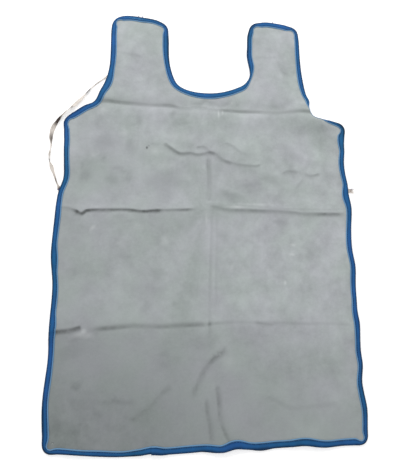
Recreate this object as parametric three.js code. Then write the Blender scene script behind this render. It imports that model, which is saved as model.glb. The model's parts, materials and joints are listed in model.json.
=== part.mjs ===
// Split-leather welding apron laid out flat on its back: one cut leather panel, a woven tape bound over
// its raw edge in nine lengths, and two loose cotton shoulder straps sewn to its back.
// Millimetres, +Z up. X runs across the apron and Y from the hem to the shoulder tabs.
import * as THREE from "three";
import { mergeGeometries, mergeVertices } from "three/addons/utils/BufferGeometryUtils.js";

// Driving dimensions of the finished outline, over the binding
const HALF_WIDTH = 305; // half of a 24 inch wide body
const HEM = -1; // level of the hem
const SIDE_TOP = 652; // level of the armpit corners
const YOKE = 745; // level where the tabs grow out of the body
const TAB_OUTER_LEFT = 209; // outer sides of the tabs from the middle
const TAB_OUTER_RIGHT = 215;
const TAB_TOP = 907; // level of the tab tops, a 36 inch long apron
const NECK_LEFT = -83; // neck sides at the tabs
const NECK_RIGHT = 97;
const NECK_BOTTOM = 722; // lowest point of the neck scoop
const NOTCH_LEFT = { x: 243, y: 696, drop: 8 }; // bend in each armhole, from the middle and the hem
const NOTCH_RIGHT = { x: 239, y: 683, drop: 5 };
const CORNER = 24; // reach of the rounded body corners
const TAB_CORNER = 30; // reach of the rounded tab corners

// Driving dimensions of the materials
const LEATHER = 1.5; // thickness of the split leather
const TAPE = 1.0; // folded thickness of the binding tape
const BACK_LAP = 11; // how far the tape laps over the back of the leather
const MARGIN = 14; // band of leather kept for the tape
const HALF_BAND = MARGIN / 2;
const GAP = 0.4; // air between separate pieces
const STRAP_WIDTH = 10;
const STRAP_THICK = 1.0;

// Driving dimensions of the grid: cells across the tabs, the neck, and up each part of the side
const TAB_CELLS = 7;
const NECK_CELLS = 12;
const HEM_CELLS = 2 * TAB_CELLS + NECK_CELLS;
const TAB_RISE_CELLS = 7;
const ARMHOLE_CELLS = 11;

// How far the tape laps over the front of the leather along each edge
const FRONT_LAP = {
  hem: 11.5,
  side_right: 9.5,
  armhole_right: 9.5,
  tab_right: 10,
  neck: 10.5,
  tab_left: 10.5,
  armhole_left: 10.5,
  side_left: 10.5,
};

// How the edge wanders: outward push, centred at x on the hem and at y on the sides
const SWAY = [
  { edge: "hem", at: -165, out: 8.5, reach: 125 },
  { edge: "hem", at: -50, out: 5.5, reach: 85 },
  { edge: "hem", at: 26, out: 6, reach: 24 },
  { edge: "hem", at: 90, out: 2.5, reach: 60 },
  { edge: "hem", at: 222, out: 2.5, reach: 30 },
  { edge: "side_left", at: 95, out: 5, reach: 75 },
  { edge: "side_left", at: 372, out: 7, reach: 70 },
  { edge: "side_left", at: 440, out: 2.5, reach: 40 },
  { edge: "side_left", at: 533, out: -11, reach: 48 },
  { edge: "side_left", at: 600, out: -6.5, reach: 60 },
  { edge: "side_right", at: 50, out: 3, reach: 40 },
  { edge: "side_right", at: 107, out: -3.5, reach: 26 },
  { edge: "side_right", at: 333, out: 3.5, reach: 30 },
  { edge: "side_right", at: 382, out: -3.5, reach: 36 },
  { edge: "side_right", at: 478, out: 2.5, reach: 50 },
  { edge: "side_right", at: 562, out: -6, reach: 44 },
  { edge: "side_right", at: 632, out: 3, reach: 30 },
];

// Fold lines left from packing: ridges, and one valley between two soft shoulders
const CREASES = [
  { kind: "valley", x0: -236, y0: 696, x1: 196, y1: 685, height: 6, reach: 72 },
  { kind: "ridge", x0: -330, y0: 458, x1: 330, y1: 458, height: 7, reach: 74 },
  { kind: "ridge", x0: -330, y0: 224, x1: 330, y1: 228, height: 7, reach: 74 },
  { kind: "ridge", x0: 4, y0: 668, x1: 0, y1: 215, height: 6, reach: 68 },
];

// Soft swellings of the leather
const SWELLS = [
  { x: -118, y: 604, rx: 80, ry: 48, height: 4 },
  { x: 98, y: 588, rx: 115, ry: 62, height: 5 },
  { x: 22, y: 78, rx: 66, ry: 100, height: 6 },
  { x: -112, y: 82, rx: 58, ry: 66, height: 4 },
  { x: -272, y: 214, rx: 56, ry: 34, height: 2.5 },
  { x: 180, y: 76, rx: 90, ry: 44, height: 3 },
];

// Edges that lift off the surface: centred at x on the hem and at y on the sides
const RUFFLES = [
  { edge: "hem", at: -250, lift: 3, reach: 48 },
  { edge: "hem", at: -105, lift: 3, reach: 40 },
  { edge: "hem", at: 36, lift: 5, reach: 52 },
  { edge: "hem", at: 190, lift: 4, reach: 60 },
  { edge: "side_left", at: 222, lift: 2, reach: 56 },
  { edge: "side_left", at: 408, lift: 3, reach: 52 },
  { edge: "side_left", at: 556, lift: 4, reach: 54 },
  { edge: "side_right", at: 106, lift: 4, reach: 46 },
  { edge: "side_right", at: 372, lift: 5, reach: 54 },
  { edge: "side_right", at: 574, lift: 4, reach: 54 },
];

// Part of the right armhole whose edge curls down, so that its tape faces the surface below
const CURL = { edge: "armhole_right", at: 66, below: 44, above: 36, inner: 46, outer: 98, fade: 60 };

// Strap routes: points on the surface, with the turn of the tape about its own length in degrees
const STRAP_LEFT = [
  { x: -143, y: 912, turn: 0 },
  { x: -145, y: 868, turn: 0 },
  { x: -156, y: 822, turn: 0 },
  { x: -180, y: 785, turn: 0 },
  { x: -207, y: 765, turn: 0 },
  { x: -228, y: 750, turn: 0 },
  { x: -244, y: 735, turn: 72 },
  { x: -266, y: 707, turn: 38 },
  { x: -288, y: 683, turn: 66 },
  { x: -312, y: 657, turn: 98 },
  { x: -326, y: 622, turn: 140 },
  { x: -325, y: 588, turn: 96 },
  { x: -329, y: 566, turn: 34 },
  { x: -318, y: 543, turn: 58 },
  { x: -309, y: 516, turn: 8 },
  { x: -300, y: 499, turn: 0 },
  { x: -279, y: 488, turn: 0 },
];
const STRAP_RIGHT = [
  { x: 150, y: 908, turn: 0 },
  { x: 148, y: 850, turn: 0 },
  { x: 142, y: 790, turn: 0 },
  { x: 138, y: 720, turn: 0 },
  { x: 144, y: 650, turn: 0 },
  { x: 168, y: 588, turn: 0 },
  { x: 212, y: 540, turn: 0 },
  { x: 268, y: 512, turn: 0 },
  { x: 319, y: 504, turn: 0 },
];
const STRAP_ROOM = { height: 1.32, reach: 60 }; // how the leather lies over a strap below it
const STRAP_STEP = 9; // length of one stretch of strap

// Colours as seen
const LEATHER_GREY = new THREE.MeshStandardMaterial({ color: 0xa6adab, roughness: 0.95, metalness: 0 });
const TAPE_BLUE = new THREE.MeshStandardMaterial({ color: 0x2c5f9e, roughness: 0.85, metalness: 0 });
const COTTON_CREAM = new THREE.MeshStandardMaterial({ color: 0xe9e3d6, roughness: 0.9, metalness: 0 });

// Smooth bump: one in the middle, nothing from a distance of one on
const bump = (t) => (Math.abs(t) < 1 ? (1 - t * t) ** 2 : 0);
// Pointed bump: a crest with straight-falling flanks
const crest = (t) => (Math.abs(t) < 1 ? (1 - Math.abs(t)) ** 2 : 0);

// The finished outline, counter-clockwise seen from above, one path for each bound length
function outlineEdges() {
  const line = (x0, y0, x1, y1) => new THREE.Path().moveTo(x0, y0).lineTo(x1, y1);
  const armhole = (side, corner, notch, outer, top) => {
    const path = new THREE.Path().moveTo(side * corner, SIDE_TOP);
    path.lineTo(side * (notch.x + 10), notch.y - notch.drop);
    path.quadraticCurveTo(side * notch.x, notch.y, side * (notch.x - 7), notch.y + 11);
    path.quadraticCurveTo(side * (outer + 1), YOKE + 3, side * outer, YOKE + 55);
    path.lineTo(side * outer, top);
    return path;
  };
  const armRight = armhole(1, HALF_WIDTH - 2, NOTCH_RIGHT, TAB_OUTER_RIGHT, TAB_TOP - 13);
  const armLeft = armhole(-1, HALF_WIDTH - 1, NOTCH_LEFT, TAB_OUTER_LEFT, TAB_TOP);
  const tabRight = new THREE.Path().moveTo(TAB_OUTER_RIGHT, TAB_TOP - 13);
  tabRight.quadraticCurveTo(TAB_OUTER_RIGHT - 80, TAB_TOP + 3, NECK_RIGHT + 8, TAB_TOP - 4);
  const neck = new THREE.Path().moveTo(NECK_RIGHT + 8, TAB_TOP - 4);
  neck.lineTo(NECK_RIGHT - 2, TAB_TOP - 92);
  neck.bezierCurveTo(NECK_RIGHT, TAB_TOP - 117, NECK_RIGHT + 12, TAB_TOP - 138, NECK_RIGHT - 9, YOKE + 3);
  neck.quadraticCurveTo(50, NECK_BOTTOM + 1, 5, NECK_BOTTOM);
  neck.quadraticCurveTo(-50, NECK_BOTTOM, NECK_LEFT + 17, YOKE + 3);
  neck.quadraticCurveTo(NECK_LEFT + 1, YOKE + 40, NECK_LEFT, YOKE + 85);
  neck.lineTo(NECK_LEFT - 1, TAB_TOP - 20);
  const tabLeft = new THREE.Path().moveTo(NECK_LEFT - 1, TAB_TOP - 20);
  tabLeft.quadraticCurveTo(-150, TAB_TOP + 9, -TAB_OUTER_LEFT, TAB_TOP);
  return [
    { name: "hem", path: line(-HALF_WIDTH - 1, HEM, HALF_WIDTH - 1, HEM), level: "x" },
    { name: "side_right", path: line(HALF_WIDTH - 1, HEM, HALF_WIDTH - 2, SIDE_TOP), level: "y" },
    { name: "armhole_right", path: armRight },
    { name: "tab_right", path: tabRight },
    { name: "neck", path: neck },
    { name: "tab_left", path: tabLeft },
    { name: "armhole_left", path: armLeft, backwards: true },
    { name: "side_left", path: line(-HALF_WIDTH + 1, SIDE_TOP, -HALF_WIDTH - 1, HEM), level: "y" },
  ];
}

const cornerAfter = {
  hem: CORNER,
  side_right: CORNER,
  armhole_right: TAB_CORNER,
  tab_right: TAB_CORNER,
  neck: TAB_CORNER,
  tab_left: TAB_CORNER,
  armhole_left: CORNER,
  side_left: CORNER,
};

// A fine polyline of each cut edge, one tape inside the outline, between the middles of its corners
function fineEdges() {
  const edges = outlineEdges();
  for (const edge of edges) {
    const points = edge.path.getSpacedPoints(Math.round(edge.path.getLength() / 3));
    if (edge.backwards) points.reverse();
    edge.tip = points[0].clone();
    edge.points = points.map((p, i) => {
      const a = points[Math.max(0, i - 1)];
      const b = points[Math.min(points.length - 1, i + 1)];
      const out = new THREE.Vector2(b.y - a.y, a.x - b.x).normalize();
      let push = -TAPE - GAP;
      for (const row of SWAY) {
        if (row.edge === edge.name) push += row.out * bump((p[edge.level] - row.at) / row.reach);
      }
      return p.clone().addScaledVector(out, push);
    });
  }
  edges.forEach((edge, k) => {
    const next = edges[(k + 1) % edges.length];
    edge.cutTip = edge.points.at(-1).clone().add(next.points[0]).sub(next.tip);
  });
  edges.forEach((edge, k) => {
    const next = edges[(k + 1) % edges.length];
    const reach = cornerAfter[edge.name];
    const tip = edge.cutTip;
    const before = edge.points.filter((p) => p.distanceTo(tip) > reach);
    const after = next.points.filter((p) => p.distanceTo(tip) > reach);
    const round = new THREE.QuadraticBezierCurve(before.at(-1), tip, after[0]).getPoints(16);
    edge.ending = round.slice(1, 9);
    next.opening = round.slice(8, 16);
    edge.points = before;
    next.points = after;
  });
  return edges.map((edge) => ({ ...edge, points: [...edge.opening, ...edge.points, ...edge.ending] }));
}

// The point of a polyline at a distance along it, with the outward direction there
function pointAlong(points, distance) {
  let walked = 0;
  for (let i = 1; i < points.length; i++) {
    const step = points[i].distanceTo(points[i - 1]);
    if (walked + step >= distance - 1e-6 || i === points.length - 1) {
      const at = points[i - 1].clone().lerp(points[i], Math.min(1, (distance - walked) / step));
      const a = points[Math.max(0, i - 2)];
      const b = points[Math.min(points.length - 1, i + 1)];
      return { at, out: new THREE.Vector2(b.y - a.y, a.x - b.x).normalize() };
    }
    walked += step;
  }
}

const lengthOf = (points) =>
  points.slice(1).reduce((sum, p, i) => sum + p.distanceTo(points[i]), 0);

// The distance along a polyline at which it first passes a level
function passing(points, axis, level) {
  let walked = 0;
  for (let i = 1; i < points.length; i++) {
    const a = points[i - 1][axis] - level;
    const b = points[i][axis] - level;
    const step = points[i].distanceTo(points[i - 1]);
    if (a * b <= 0) return walked + (step * Math.abs(a)) / (Math.abs(a) + Math.abs(b));
    walked += step;
  }
  return walked;
}

// Stations round the whole cut edge: equal steps between marks, with short steps round the corners
const edges = fineEdges();
const edgeNamed = Object.fromEntries(edges.map((edge) => [edge.name, edge]));
const folds = CREASES.filter((row) => row.kind === "ridge" && row.x0 < -HALF_WIDTH);

function marksOf(edge) {
  const full = lengthOf(edge.points);
  const small = [10, 22];
  const wide = [12, 26];
  const foldLevel = (row) => (edge.name === "side_right" ? row.y1 : row.y0);
  const foldMarks = folds.map((row) => passing(edge.points, "y", foldLevel(row)));
  const yoke = passing(edge.points, "y", YOKE);
  const fromEnd = (steps) => steps.map((s) => full - s).reverse();
  switch (edge.name) {
    case "hem":
      return { marks: [0, ...small, ...fromEnd(small), full], cells: [1, 1, HEM_CELLS - 4, 1, 1] };
    case "side_right":
      return {
        marks: [0, ...small, foldMarks[1], foldMarks[0], ...fromEnd(small), full],
        cells: [1, 1, 7, 8, 6, 1, 1],
      };
    case "side_left":
      return {
        marks: [0, ...small, foldMarks[0], foldMarks[1], ...fromEnd(small), full],
        cells: [1, 1, 6, 8, 7, 1, 1],
      };
    case "armhole_right":
      return {
        marks: [0, ...small, yoke, ...fromEnd(wide), full],
        cells: [1, 1, ARMHOLE_CELLS - 2, 5, 1, 1],
      };
    case "armhole_left":
      return {
        marks: [0, ...wide, yoke, ...fromEnd(small), full],
        cells: [1, 1, 5, ARMHOLE_CELLS - 2, 1, 1],
      };
    case "neck": {
      const up = full - passing([...edge.points].reverse(), "y", YOKE);
      return { marks: [0, ...wide, yoke, up, ...fromEnd(wide), full], cells: [1, 1, 5, NECK_CELLS, 5, 1, 1] };
    }
    default:
      return { marks: [0, ...wide, ...fromEnd(wide), full], cells: [1, 1, TAB_CELLS - 4, 1, 1] };
  }
}

const stations = [];
const firstOf = {};
for (const edge of edges) {
  firstOf[edge.name] = stations.length;
  const { marks, cells } = marksOf(edge);
  cells.forEach((count, band) => {
    for (let i = 0; i < count; i++) {
      const along = marks[band] + ((marks[band + 1] - marks[band]) * i) / count;
      stations.push({ edge: edge.name, along, ...pointAlong(edge.points, along) });
    }
  });
}
const COUNT = stations.length;
// A corner station looks both ways, so its outward direction is the mean of the two edges
for (const edge of edges) {
  const k = firstOf[edge.name];
  const last = edges[(edges.indexOf(edge) + edges.length - 1) % edges.length];
  stations[k].out.add(pointAlong(last.points, lengthOf(last.points)).out).normalize();
}
const inset = stations.map((s) => s.at.clone().addScaledVector(s.out, -MARGIN));

// Where a point of the pattern lies against the cut edge: nearest edge, distance, and place along it
const fine = edges.flatMap((edge) => {
  let along = 0;
  return edge.points.map((p, i) => {
    if (i) along += p.distanceTo(edge.points[i - 1]);
    return { p, edge: edge.name, along, level: edge.level ? p[edge.level] : along };
  });
});
function againstEdge(point) {
  let best = fine[0];
  let near = Infinity;
  for (const sample of fine) {
    const d = sample.p.distanceToSquared(point);
    if (d < near) {
      near = d;
      best = sample;
    }
  }
  return { ...best, distance: Math.sqrt(near) };
}

const toSegment = (point, row) => {
  const a = new THREE.Vector3(row.x0, row.y0, 0);
  const b = new THREE.Vector3(row.x1, row.y1, 0);
  const p = new THREE.Vector3(point.x, point.y, 0);
  return new THREE.Line3(a, b).closestPointToPoint(p, true, new THREE.Vector3()).distanceTo(p);
};

const routeOf = (rows) => new THREE.CatmullRomCurve3(rows.map((r) => new THREE.Vector3(r.x, r.y, 0)));
const routes = { left: routeOf(STRAP_LEFT), right: routeOf(STRAP_RIGHT) };
const routePoints = Object.values(routes).flatMap((route) => route.getSpacedPoints(90));

const curlShare = (away) => away / (away < 0 ? CURL.below : CURL.above);
const curlAt = (edge, along) =>
  edge === CURL.edge ? Math.min(1, 1.35 * bump(curlShare(along - CURL.at))) : 0;
const radians = THREE.MathUtils.degToRad;
const curlDrop = (curl) =>
  HALF_BAND * (Math.sin(radians(CURL.inner * curl)) + Math.sin(radians(CURL.outer * curl)));

// Height of the middle of the leather above the surface, for a point of the pattern
function height(point) {
  const near = againstEdge(point);
  const inside = Math.max(0, near.distance - MARGIN);
  let z = LEATHER / 2 + (TAPE + GAP + 0.05) * bump(inside / 60);
  for (const row of CREASES) {
    const d = toSegment(point, row) / row.reach;
    z += row.height * (row.kind === "ridge" ? crest(d) : bump(d) - crest(3 * d));
  }
  for (const row of SWELLS) {
    z += row.height * bump(Math.hypot((point.x - row.x) / row.rx, (point.y - row.y) / row.ry));
  }
  for (const row of RUFFLES) {
    const along = bump((near.level - row.at) / row.reach);
    if (row.edge === near.edge) z += row.lift * along * bump(near.distance / 90);
  }
  const strap = Math.min(...routePoints.map((p) => Math.hypot(p.x - point.x, p.y - point.y)));
  z += STRAP_ROOM.height * bump(strap / STRAP_ROOM.reach);
  const curl = curlAt(near.edge, near.along);
  return z + (curlDrop(curl) + 1.6 * Math.min(1, 2.5 * curl)) * bump(inside / CURL.fade);
}
const draped = (point) => new THREE.Vector3(point.x, point.y, height(point));

// Three lines of the band: its inner line, its middle and the cut edge; a curled band turns down
const bandLine = inset.map(draped);
const turnedFrom = (point, s, angle) =>
  point
    .clone()
    .addScaledVector(new THREE.Vector3(s.out.x, s.out.y, 0), HALF_BAND * Math.cos(angle))
    .add(new THREE.Vector3(0, 0, -HALF_BAND * Math.sin(angle)));
const edgeLine = [];
const middleLine = stations.map((s, k) => {
  const curl = curlAt(s.edge, s.along);
  if (curl === 0) {
    edgeLine.push(draped(s.at));
    return edgeLine[k].clone().lerp(bandLine[k], 0.5);
  }
  const middle = turnedFrom(bandLine[k], s, radians(CURL.inner * curl));
  edgeLine.push(turnedFrom(middle, s, radians(CURL.outer * curl)));
  return middle;
});

// A patch of the panel between four rows of points, kept straight across except near its ends
function patch(bottom, right, top, left) {
  const share = (row) => {
    const full = lengthOf(row);
    let walked = 0;
    return row.map((p, i) => (i ? (walked += p.distanceTo(row[i - 1])) : 0) / full);
  };
  const [ub, ut, vl, vr] = [bottom, top, left, right].map(share);
  const mix = (a, b, t) => a.clone().lerp(b, t);
  const columns = bottom.length - 1;
  const rows = left.length - 1;
  const plane = new THREE.PlaneGeometry(1, 1, columns, rows);
  for (let j = 0; j <= rows; j++) {
    for (let i = 0; i <= columns; i++) {
      const v = (vl[j] + vr[j]) / 2;
      const u = THREE.MathUtils.lerp(ub[i], ut[i], v * v);
      const point = mix(left[j], right[j], u);
      const low = bottom[i].clone().sub(mix(bottom[0], bottom.at(-1), ub[i]));
      const high = top[i].clone().sub(mix(top[0], top.at(-1), ut[i]));
      point.addScaledVector(low, (1 - v) ** 4).addScaledVector(high, v ** 4);
      const place = draped(point);
      plane.attributes.position.setXYZ((rows - j) * (columns + 1) + i, place.x, place.y, place.z);
    }
  }
  return plane;
}

// The leather sheet: body, two tabs and the band along the edge, joined into one surface
function leatherSheet() {
  const at = (k) => inset[((k % COUNT) + COUNT) % COUNT];
  const run = (from, to) => {
    const step = Math.sign(to - from);
    return Array.from({ length: Math.abs(to - from) + 1 }, (_, i) => at(from + step * i));
  };
  const hemRight = firstOf.side_right;
  const yokeRight = firstOf.armhole_right + ARMHOLE_CELLS;
  const neckRight = firstOf.neck + TAB_RISE_CELLS;
  const neckLeft = neckRight + NECK_CELLS;
  const yokeLeft = firstOf.armhole_left + TAB_RISE_CELLS;
  const rightTop = run(firstOf.neck, firstOf.tab_right);
  const leftTop = run(firstOf.armhole_left, firstOf.tab_left);
  const base = (from, to, like) => {
    const full = lengthOf(like);
    let walked = 0;
    return like.map((p, i) => {
      walked += i ? p.distanceTo(like[i - 1]) : 0;
      return at(from).clone().lerp(at(to), walked / full);
    });
  };
  const leftBase = base(yokeLeft, neckLeft, leftTop);
  const rightBase = base(neckRight, yokeRight, rightTop);
  const yoke = [...leftBase, ...run(neckLeft, neckRight).slice(1, -1), ...rightBase];
  const body = patch(run(0, hemRight), run(hemRight, yokeRight), yoke, run(COUNT, yokeLeft));
  const leftInner = run(neckLeft, firstOf.tab_left);
  const leftOuter = run(yokeLeft, firstOf.armhole_left);
  const tabLeft = patch(leftBase, leftInner, leftTop, leftOuter);
  const rightOuter = run(yokeRight, firstOf.tab_right);
  const rightInner = run(neckRight, firstOf.neck);
  const tabRight = patch(rightBase, rightOuter, rightTop, rightInner);
  const band = new THREE.PlaneGeometry(1, 1, COUNT, 2);
  [bandLine, middleLine, edgeLine].forEach((line, row) => {
    for (let k = 0; k <= COUNT; k++) {
      band.attributes.position.setXYZ(row * (COUNT + 1) + k, ...line[k % COUNT]);
    }
  });
  const parts = [body, tabLeft, tabRight, band];
  for (const part of parts) {
    part.deleteAttribute("uv");
    part.deleteAttribute("normal");
  }
  const sheet = mergeVertices(mergeGeometries(parts), 1e-3);
  sheet.computeVertexNormals();
  return sheet;
}

const sheet = leatherSheet();
const keyOf = (p) => [p.x, p.y, p.z].map((c) => c.toFixed(2)).join(" ");
const normals = new Map();
for (let i = 0; i < sheet.attributes.position.count; i++) {
  const p = new THREE.Vector3().fromBufferAttribute(sheet.attributes.position, i);
  normals.set(keyOf(p), new THREE.Vector3().fromBufferAttribute(sheet.attributes.normal, i));
}
const faceNormal = (p) => normals.get(keyOf(new THREE.Vector3(...[p.x, p.y, p.z].map(Math.fround))));

// A wall of even thickness about a sheet: both faces, and a rim along every open edge
function wall(sheet, thickness) {
  const place = sheet.attributes.position;
  const normal = sheet.attributes.normal;
  const index = Array.from(sheet.index.array);
  const total = place.count;
  const points = [];
  for (const face of [0.5, -0.5]) {
    for (let i = 0; i < total; i++) {
      const p = new THREE.Vector3().fromBufferAttribute(place, i);
      const n = new THREE.Vector3().fromBufferAttribute(normal, i);
      points.push(...p.addScaledVector(n, face * thickness));
    }
  }
  const faces = [...index];
  const open = new Map();
  for (let f = 0; f < index.length; f += 3) {
    const [a, b, c] = index.slice(f, f + 3);
    faces.push(total + a, total + c, total + b);
    for (const [p, q] of [[a, b], [b, c], [c, a]]) {
      if (!open.delete(q + "," + p)) open.set(p + "," + q, [p, q]);
    }
  }
  for (const [p, q] of open.values()) faces.push(q, p, total + p, q, total + p, total + q);
  const made = new THREE.BufferGeometry();
  made.setAttribute("position", new THREE.Float32BufferAttribute(points, 3));
  return made.setIndex(faces);
}

// A closed body through equal sections; a turned face has its diagonal the other way
function loft(sections, outline, turned = []) {
  const size = outline.length;
  const faces = [];
  for (let s = 1; s < sections.length; s++) {
    for (let j = 0; j < size; j++) {
      const k = (j + 1) % size;
      const [a, b, c, d] = [(s - 1) * size + j, (s - 1) * size + k, s * size + k, s * size + j];
      if (turned.includes(j)) faces.push(a, b, d, b, c, d);
      else faces.push(a, b, c, a, c, d);
    }
  }
  const end = (sections.length - 1) * size;
  for (const [a, b, c] of THREE.ShapeUtils.triangulateShape(outline, [])) {
    faces.push(a, c, b, end + a, end + b, end + c);
  }
  const made = new THREE.BufferGeometry();
  made.setAttribute("position", new THREE.Float32BufferAttribute(sections.flat().flatMap((p) => [...p]), 3));
  return made.setIndex(faces);
}

// Lap of the tape on the front: it wanders a little and is drawn in at the corners
function frontLap(k) {
  const s = stations[k % COUNT];
  const full = lengthOf(edgeNamed[s.edge].points);
  const toCorner = Math.min(s.along, full - s.along);
  const wander = 1.1 * Math.sin(s.along / 31) + 0.5 * Math.sin(s.along / 11);
  const notch = s.edge === "armhole_left" ? bump((s.at.y - NOTCH_LEFT.y) / 30) : 0;
  return FRONT_LAP[s.edge] + wander - 4 * bump(toCorner / 26) - 3 * notch;
}

// One length of tape folded over the edge between two stations; push swells its start outward.
// Its inner faces copy the faces of the leather band, so the air between them stays even.
function tape(from, to, push = 0) {
  const near = LEATHER / 2 + GAP;
  const far = near + TAPE;
  const sections = [];
  for (let k = from; k <= to; k++) {
    const i = k % COUNT;
    const s = stations[i];
    const rows = [edgeLine, middleLine, bandLine].map((line) => [line[i], faceNormal(line[i])]);
    const onBand = (reach, rise) => {
      const share = Math.min(1.999, reach / HALF_BAND);
      const [p, n] = rows[Math.floor(share)];
      const [q, m] = rows[Math.floor(share) + 1];
      const point = p.clone().lerp(q, share % 1);
      return point.addScaledVector(n.clone().lerp(m, share % 1).normalize(), rise);
    };
    const inward = middleLine[i].clone().sub(edgeLine[i]).normalize();
    const tangent = edgeLine[(i + 1) % COUNT].clone().sub(edgeLine[(i + COUNT - 1) % COUNT]).normalize();
    const past = (reach, rise) => onBand(0, rise).addScaledVector(inward, -reach);
    const curled = Math.max(curlAt(s.edge, s.along - 15), curlAt(s.edge, s.along + 15)) > 0;
    const narrow = curled || (s.edge === "armhole_left" && Math.abs(s.at.y - NOTCH_LEFT.y) < 12);
    const front = narrow ? HALF_BAND : frontLap(i);
    const back = narrow ? HALF_BAND : BACK_LAP;
    const swell = push * Math.max(0, 1 - (k - from) / 2);
    const section = [
      onBand(front, far),
      past(swell, far),
      past(swell + GAP + TAPE, far * 0.5),
      past(swell + GAP + TAPE, -far * 0.5),
      past(swell, -far),
      onBand(back, -far),
      onBand(back, -near),
      onBand(0, -near),
      past(swell + GAP, -near * 0.9),
      past(swell + GAP, near * 0.9),
      onBand(0, near),
      onBand(front, near),
    ];
    const shift = k === from ? GAP : k === to ? -GAP : 0;
    sections.push(section.map((p) => p.addScaledVector(tangent, shift)));
  }
  const lap = BACK_LAP;
  const rim = GAP + TAPE;
  const flat = [
    [lap, far], [0, far], [-rim, far / 2], [-rim, -far / 2], [0, -far], [lap, -far],
    [lap, -near], [0, -near], [-GAP, -near * 0.9], [-GAP, near * 0.9], [0, near], [lap, near],
  ];
  return loft(sections, flat.map(([x, y]) => new THREE.Vector2(x, y)), [0, 6]);
}

// One strap: a flat tape along its route, turned about its length and resting on the surface
function strap(rows, route) {
  const full = route.getLength();
  const steps = Math.round(full / STRAP_STEP);
  const rowAt = rows.map((_, i) => i / (rows.length - 1));
  const outline = [
    new THREE.Vector2(STRAP_WIDTH / 2, STRAP_THICK / 2),
    new THREE.Vector2(-STRAP_WIDTH / 2, STRAP_THICK / 2),
    new THREE.Vector2(-STRAP_WIDTH / 2, -STRAP_THICK / 2),
    new THREE.Vector2(STRAP_WIDTH / 2, -STRAP_THICK / 2),
  ];
  const sections = [];
  for (let i = 0; i <= steps; i++) {
    const t = route.getUtoTmapping(i / steps);
    const row = Math.min(rows.length - 2, rowAt.findLastIndex((r) => r <= t));
    const mix = THREE.MathUtils.smoothstep(t, rowAt[row], rowAt[row + 1]);
    const turn = radians(THREE.MathUtils.lerp(rows[row].turn, rows[row + 1].turn, mix));
    const along = route.getTangent(t);
    const level = new THREE.Vector3(-along.y, along.x, 0);
    const across = level.clone().applyAxisAngle(along, turn);
    const up = along.clone().cross(across);
    const rest = (STRAP_WIDTH * Math.abs(Math.sin(turn)) + STRAP_THICK * Math.abs(Math.cos(turn))) / 2;
    const centre = route.getPoint(t).setZ(rest + 0.02);
    sections.push(
      outline.map((q) => centre.clone().addScaledVector(across, q.x).addScaledVector(up, q.y)),
    );
  }
  return loft(sections, outline);
}

// The apron, with its origin under the middle of the bound panel
const apron = new THREE.Group();
apron.name = "welding_apron";
const add = (name, geometry, material) => {
  const mesh = new THREE.Mesh(geometry, material.clone());
  mesh.name = name;
  mesh.material.name = name;
  apron.add(mesh);
};
add("leather_panel", wall(sheet, LEATHER), LEATHER_GREY);
const joint = stations.findIndex((s) => s.edge === "hem" && s.at.x > -118);
add("binding_hem_left", tape(firstOf.hem, joint), TAPE_BLUE);
add("binding_hem_right", tape(joint, firstOf.side_right, 3), TAPE_BLUE);
for (const edge of edges.slice(1)) {
  const next = edges[edges.indexOf(edge) + 1];
  add("binding_" + edge.name, tape(firstOf[edge.name], next ? firstOf[next.name] : COUNT), TAPE_BLUE);
}
const box = new THREE.Box3().setFromObject(apron);
add("strap_left", strap(STRAP_LEFT, routes.left), COTTON_CREAM);
add("strap_right", strap(STRAP_RIGHT, routes.right), COTTON_CREAM);
const middle = box.getCenter(new THREE.Vector3());
apron.position.set(-middle.x, -middle.y, -box.min.z);
apron.updateMatrixWorld(true);

export default apron;
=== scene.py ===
# %% [markdown]
# # A leather welding apron, laid out flat
# The real apron is one piece of grey split leather, about 24 by 36 inches, with a blue woven tape folded
# over its raw edge and two cotton shoulder straps sewn to its back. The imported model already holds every
# piece at its true size and place. This lesson keeps those places and makes each piece again with the
# detail that the eye expects: folds from packing, a napped surface, a woven and stitched edge.

import json
import math

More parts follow.
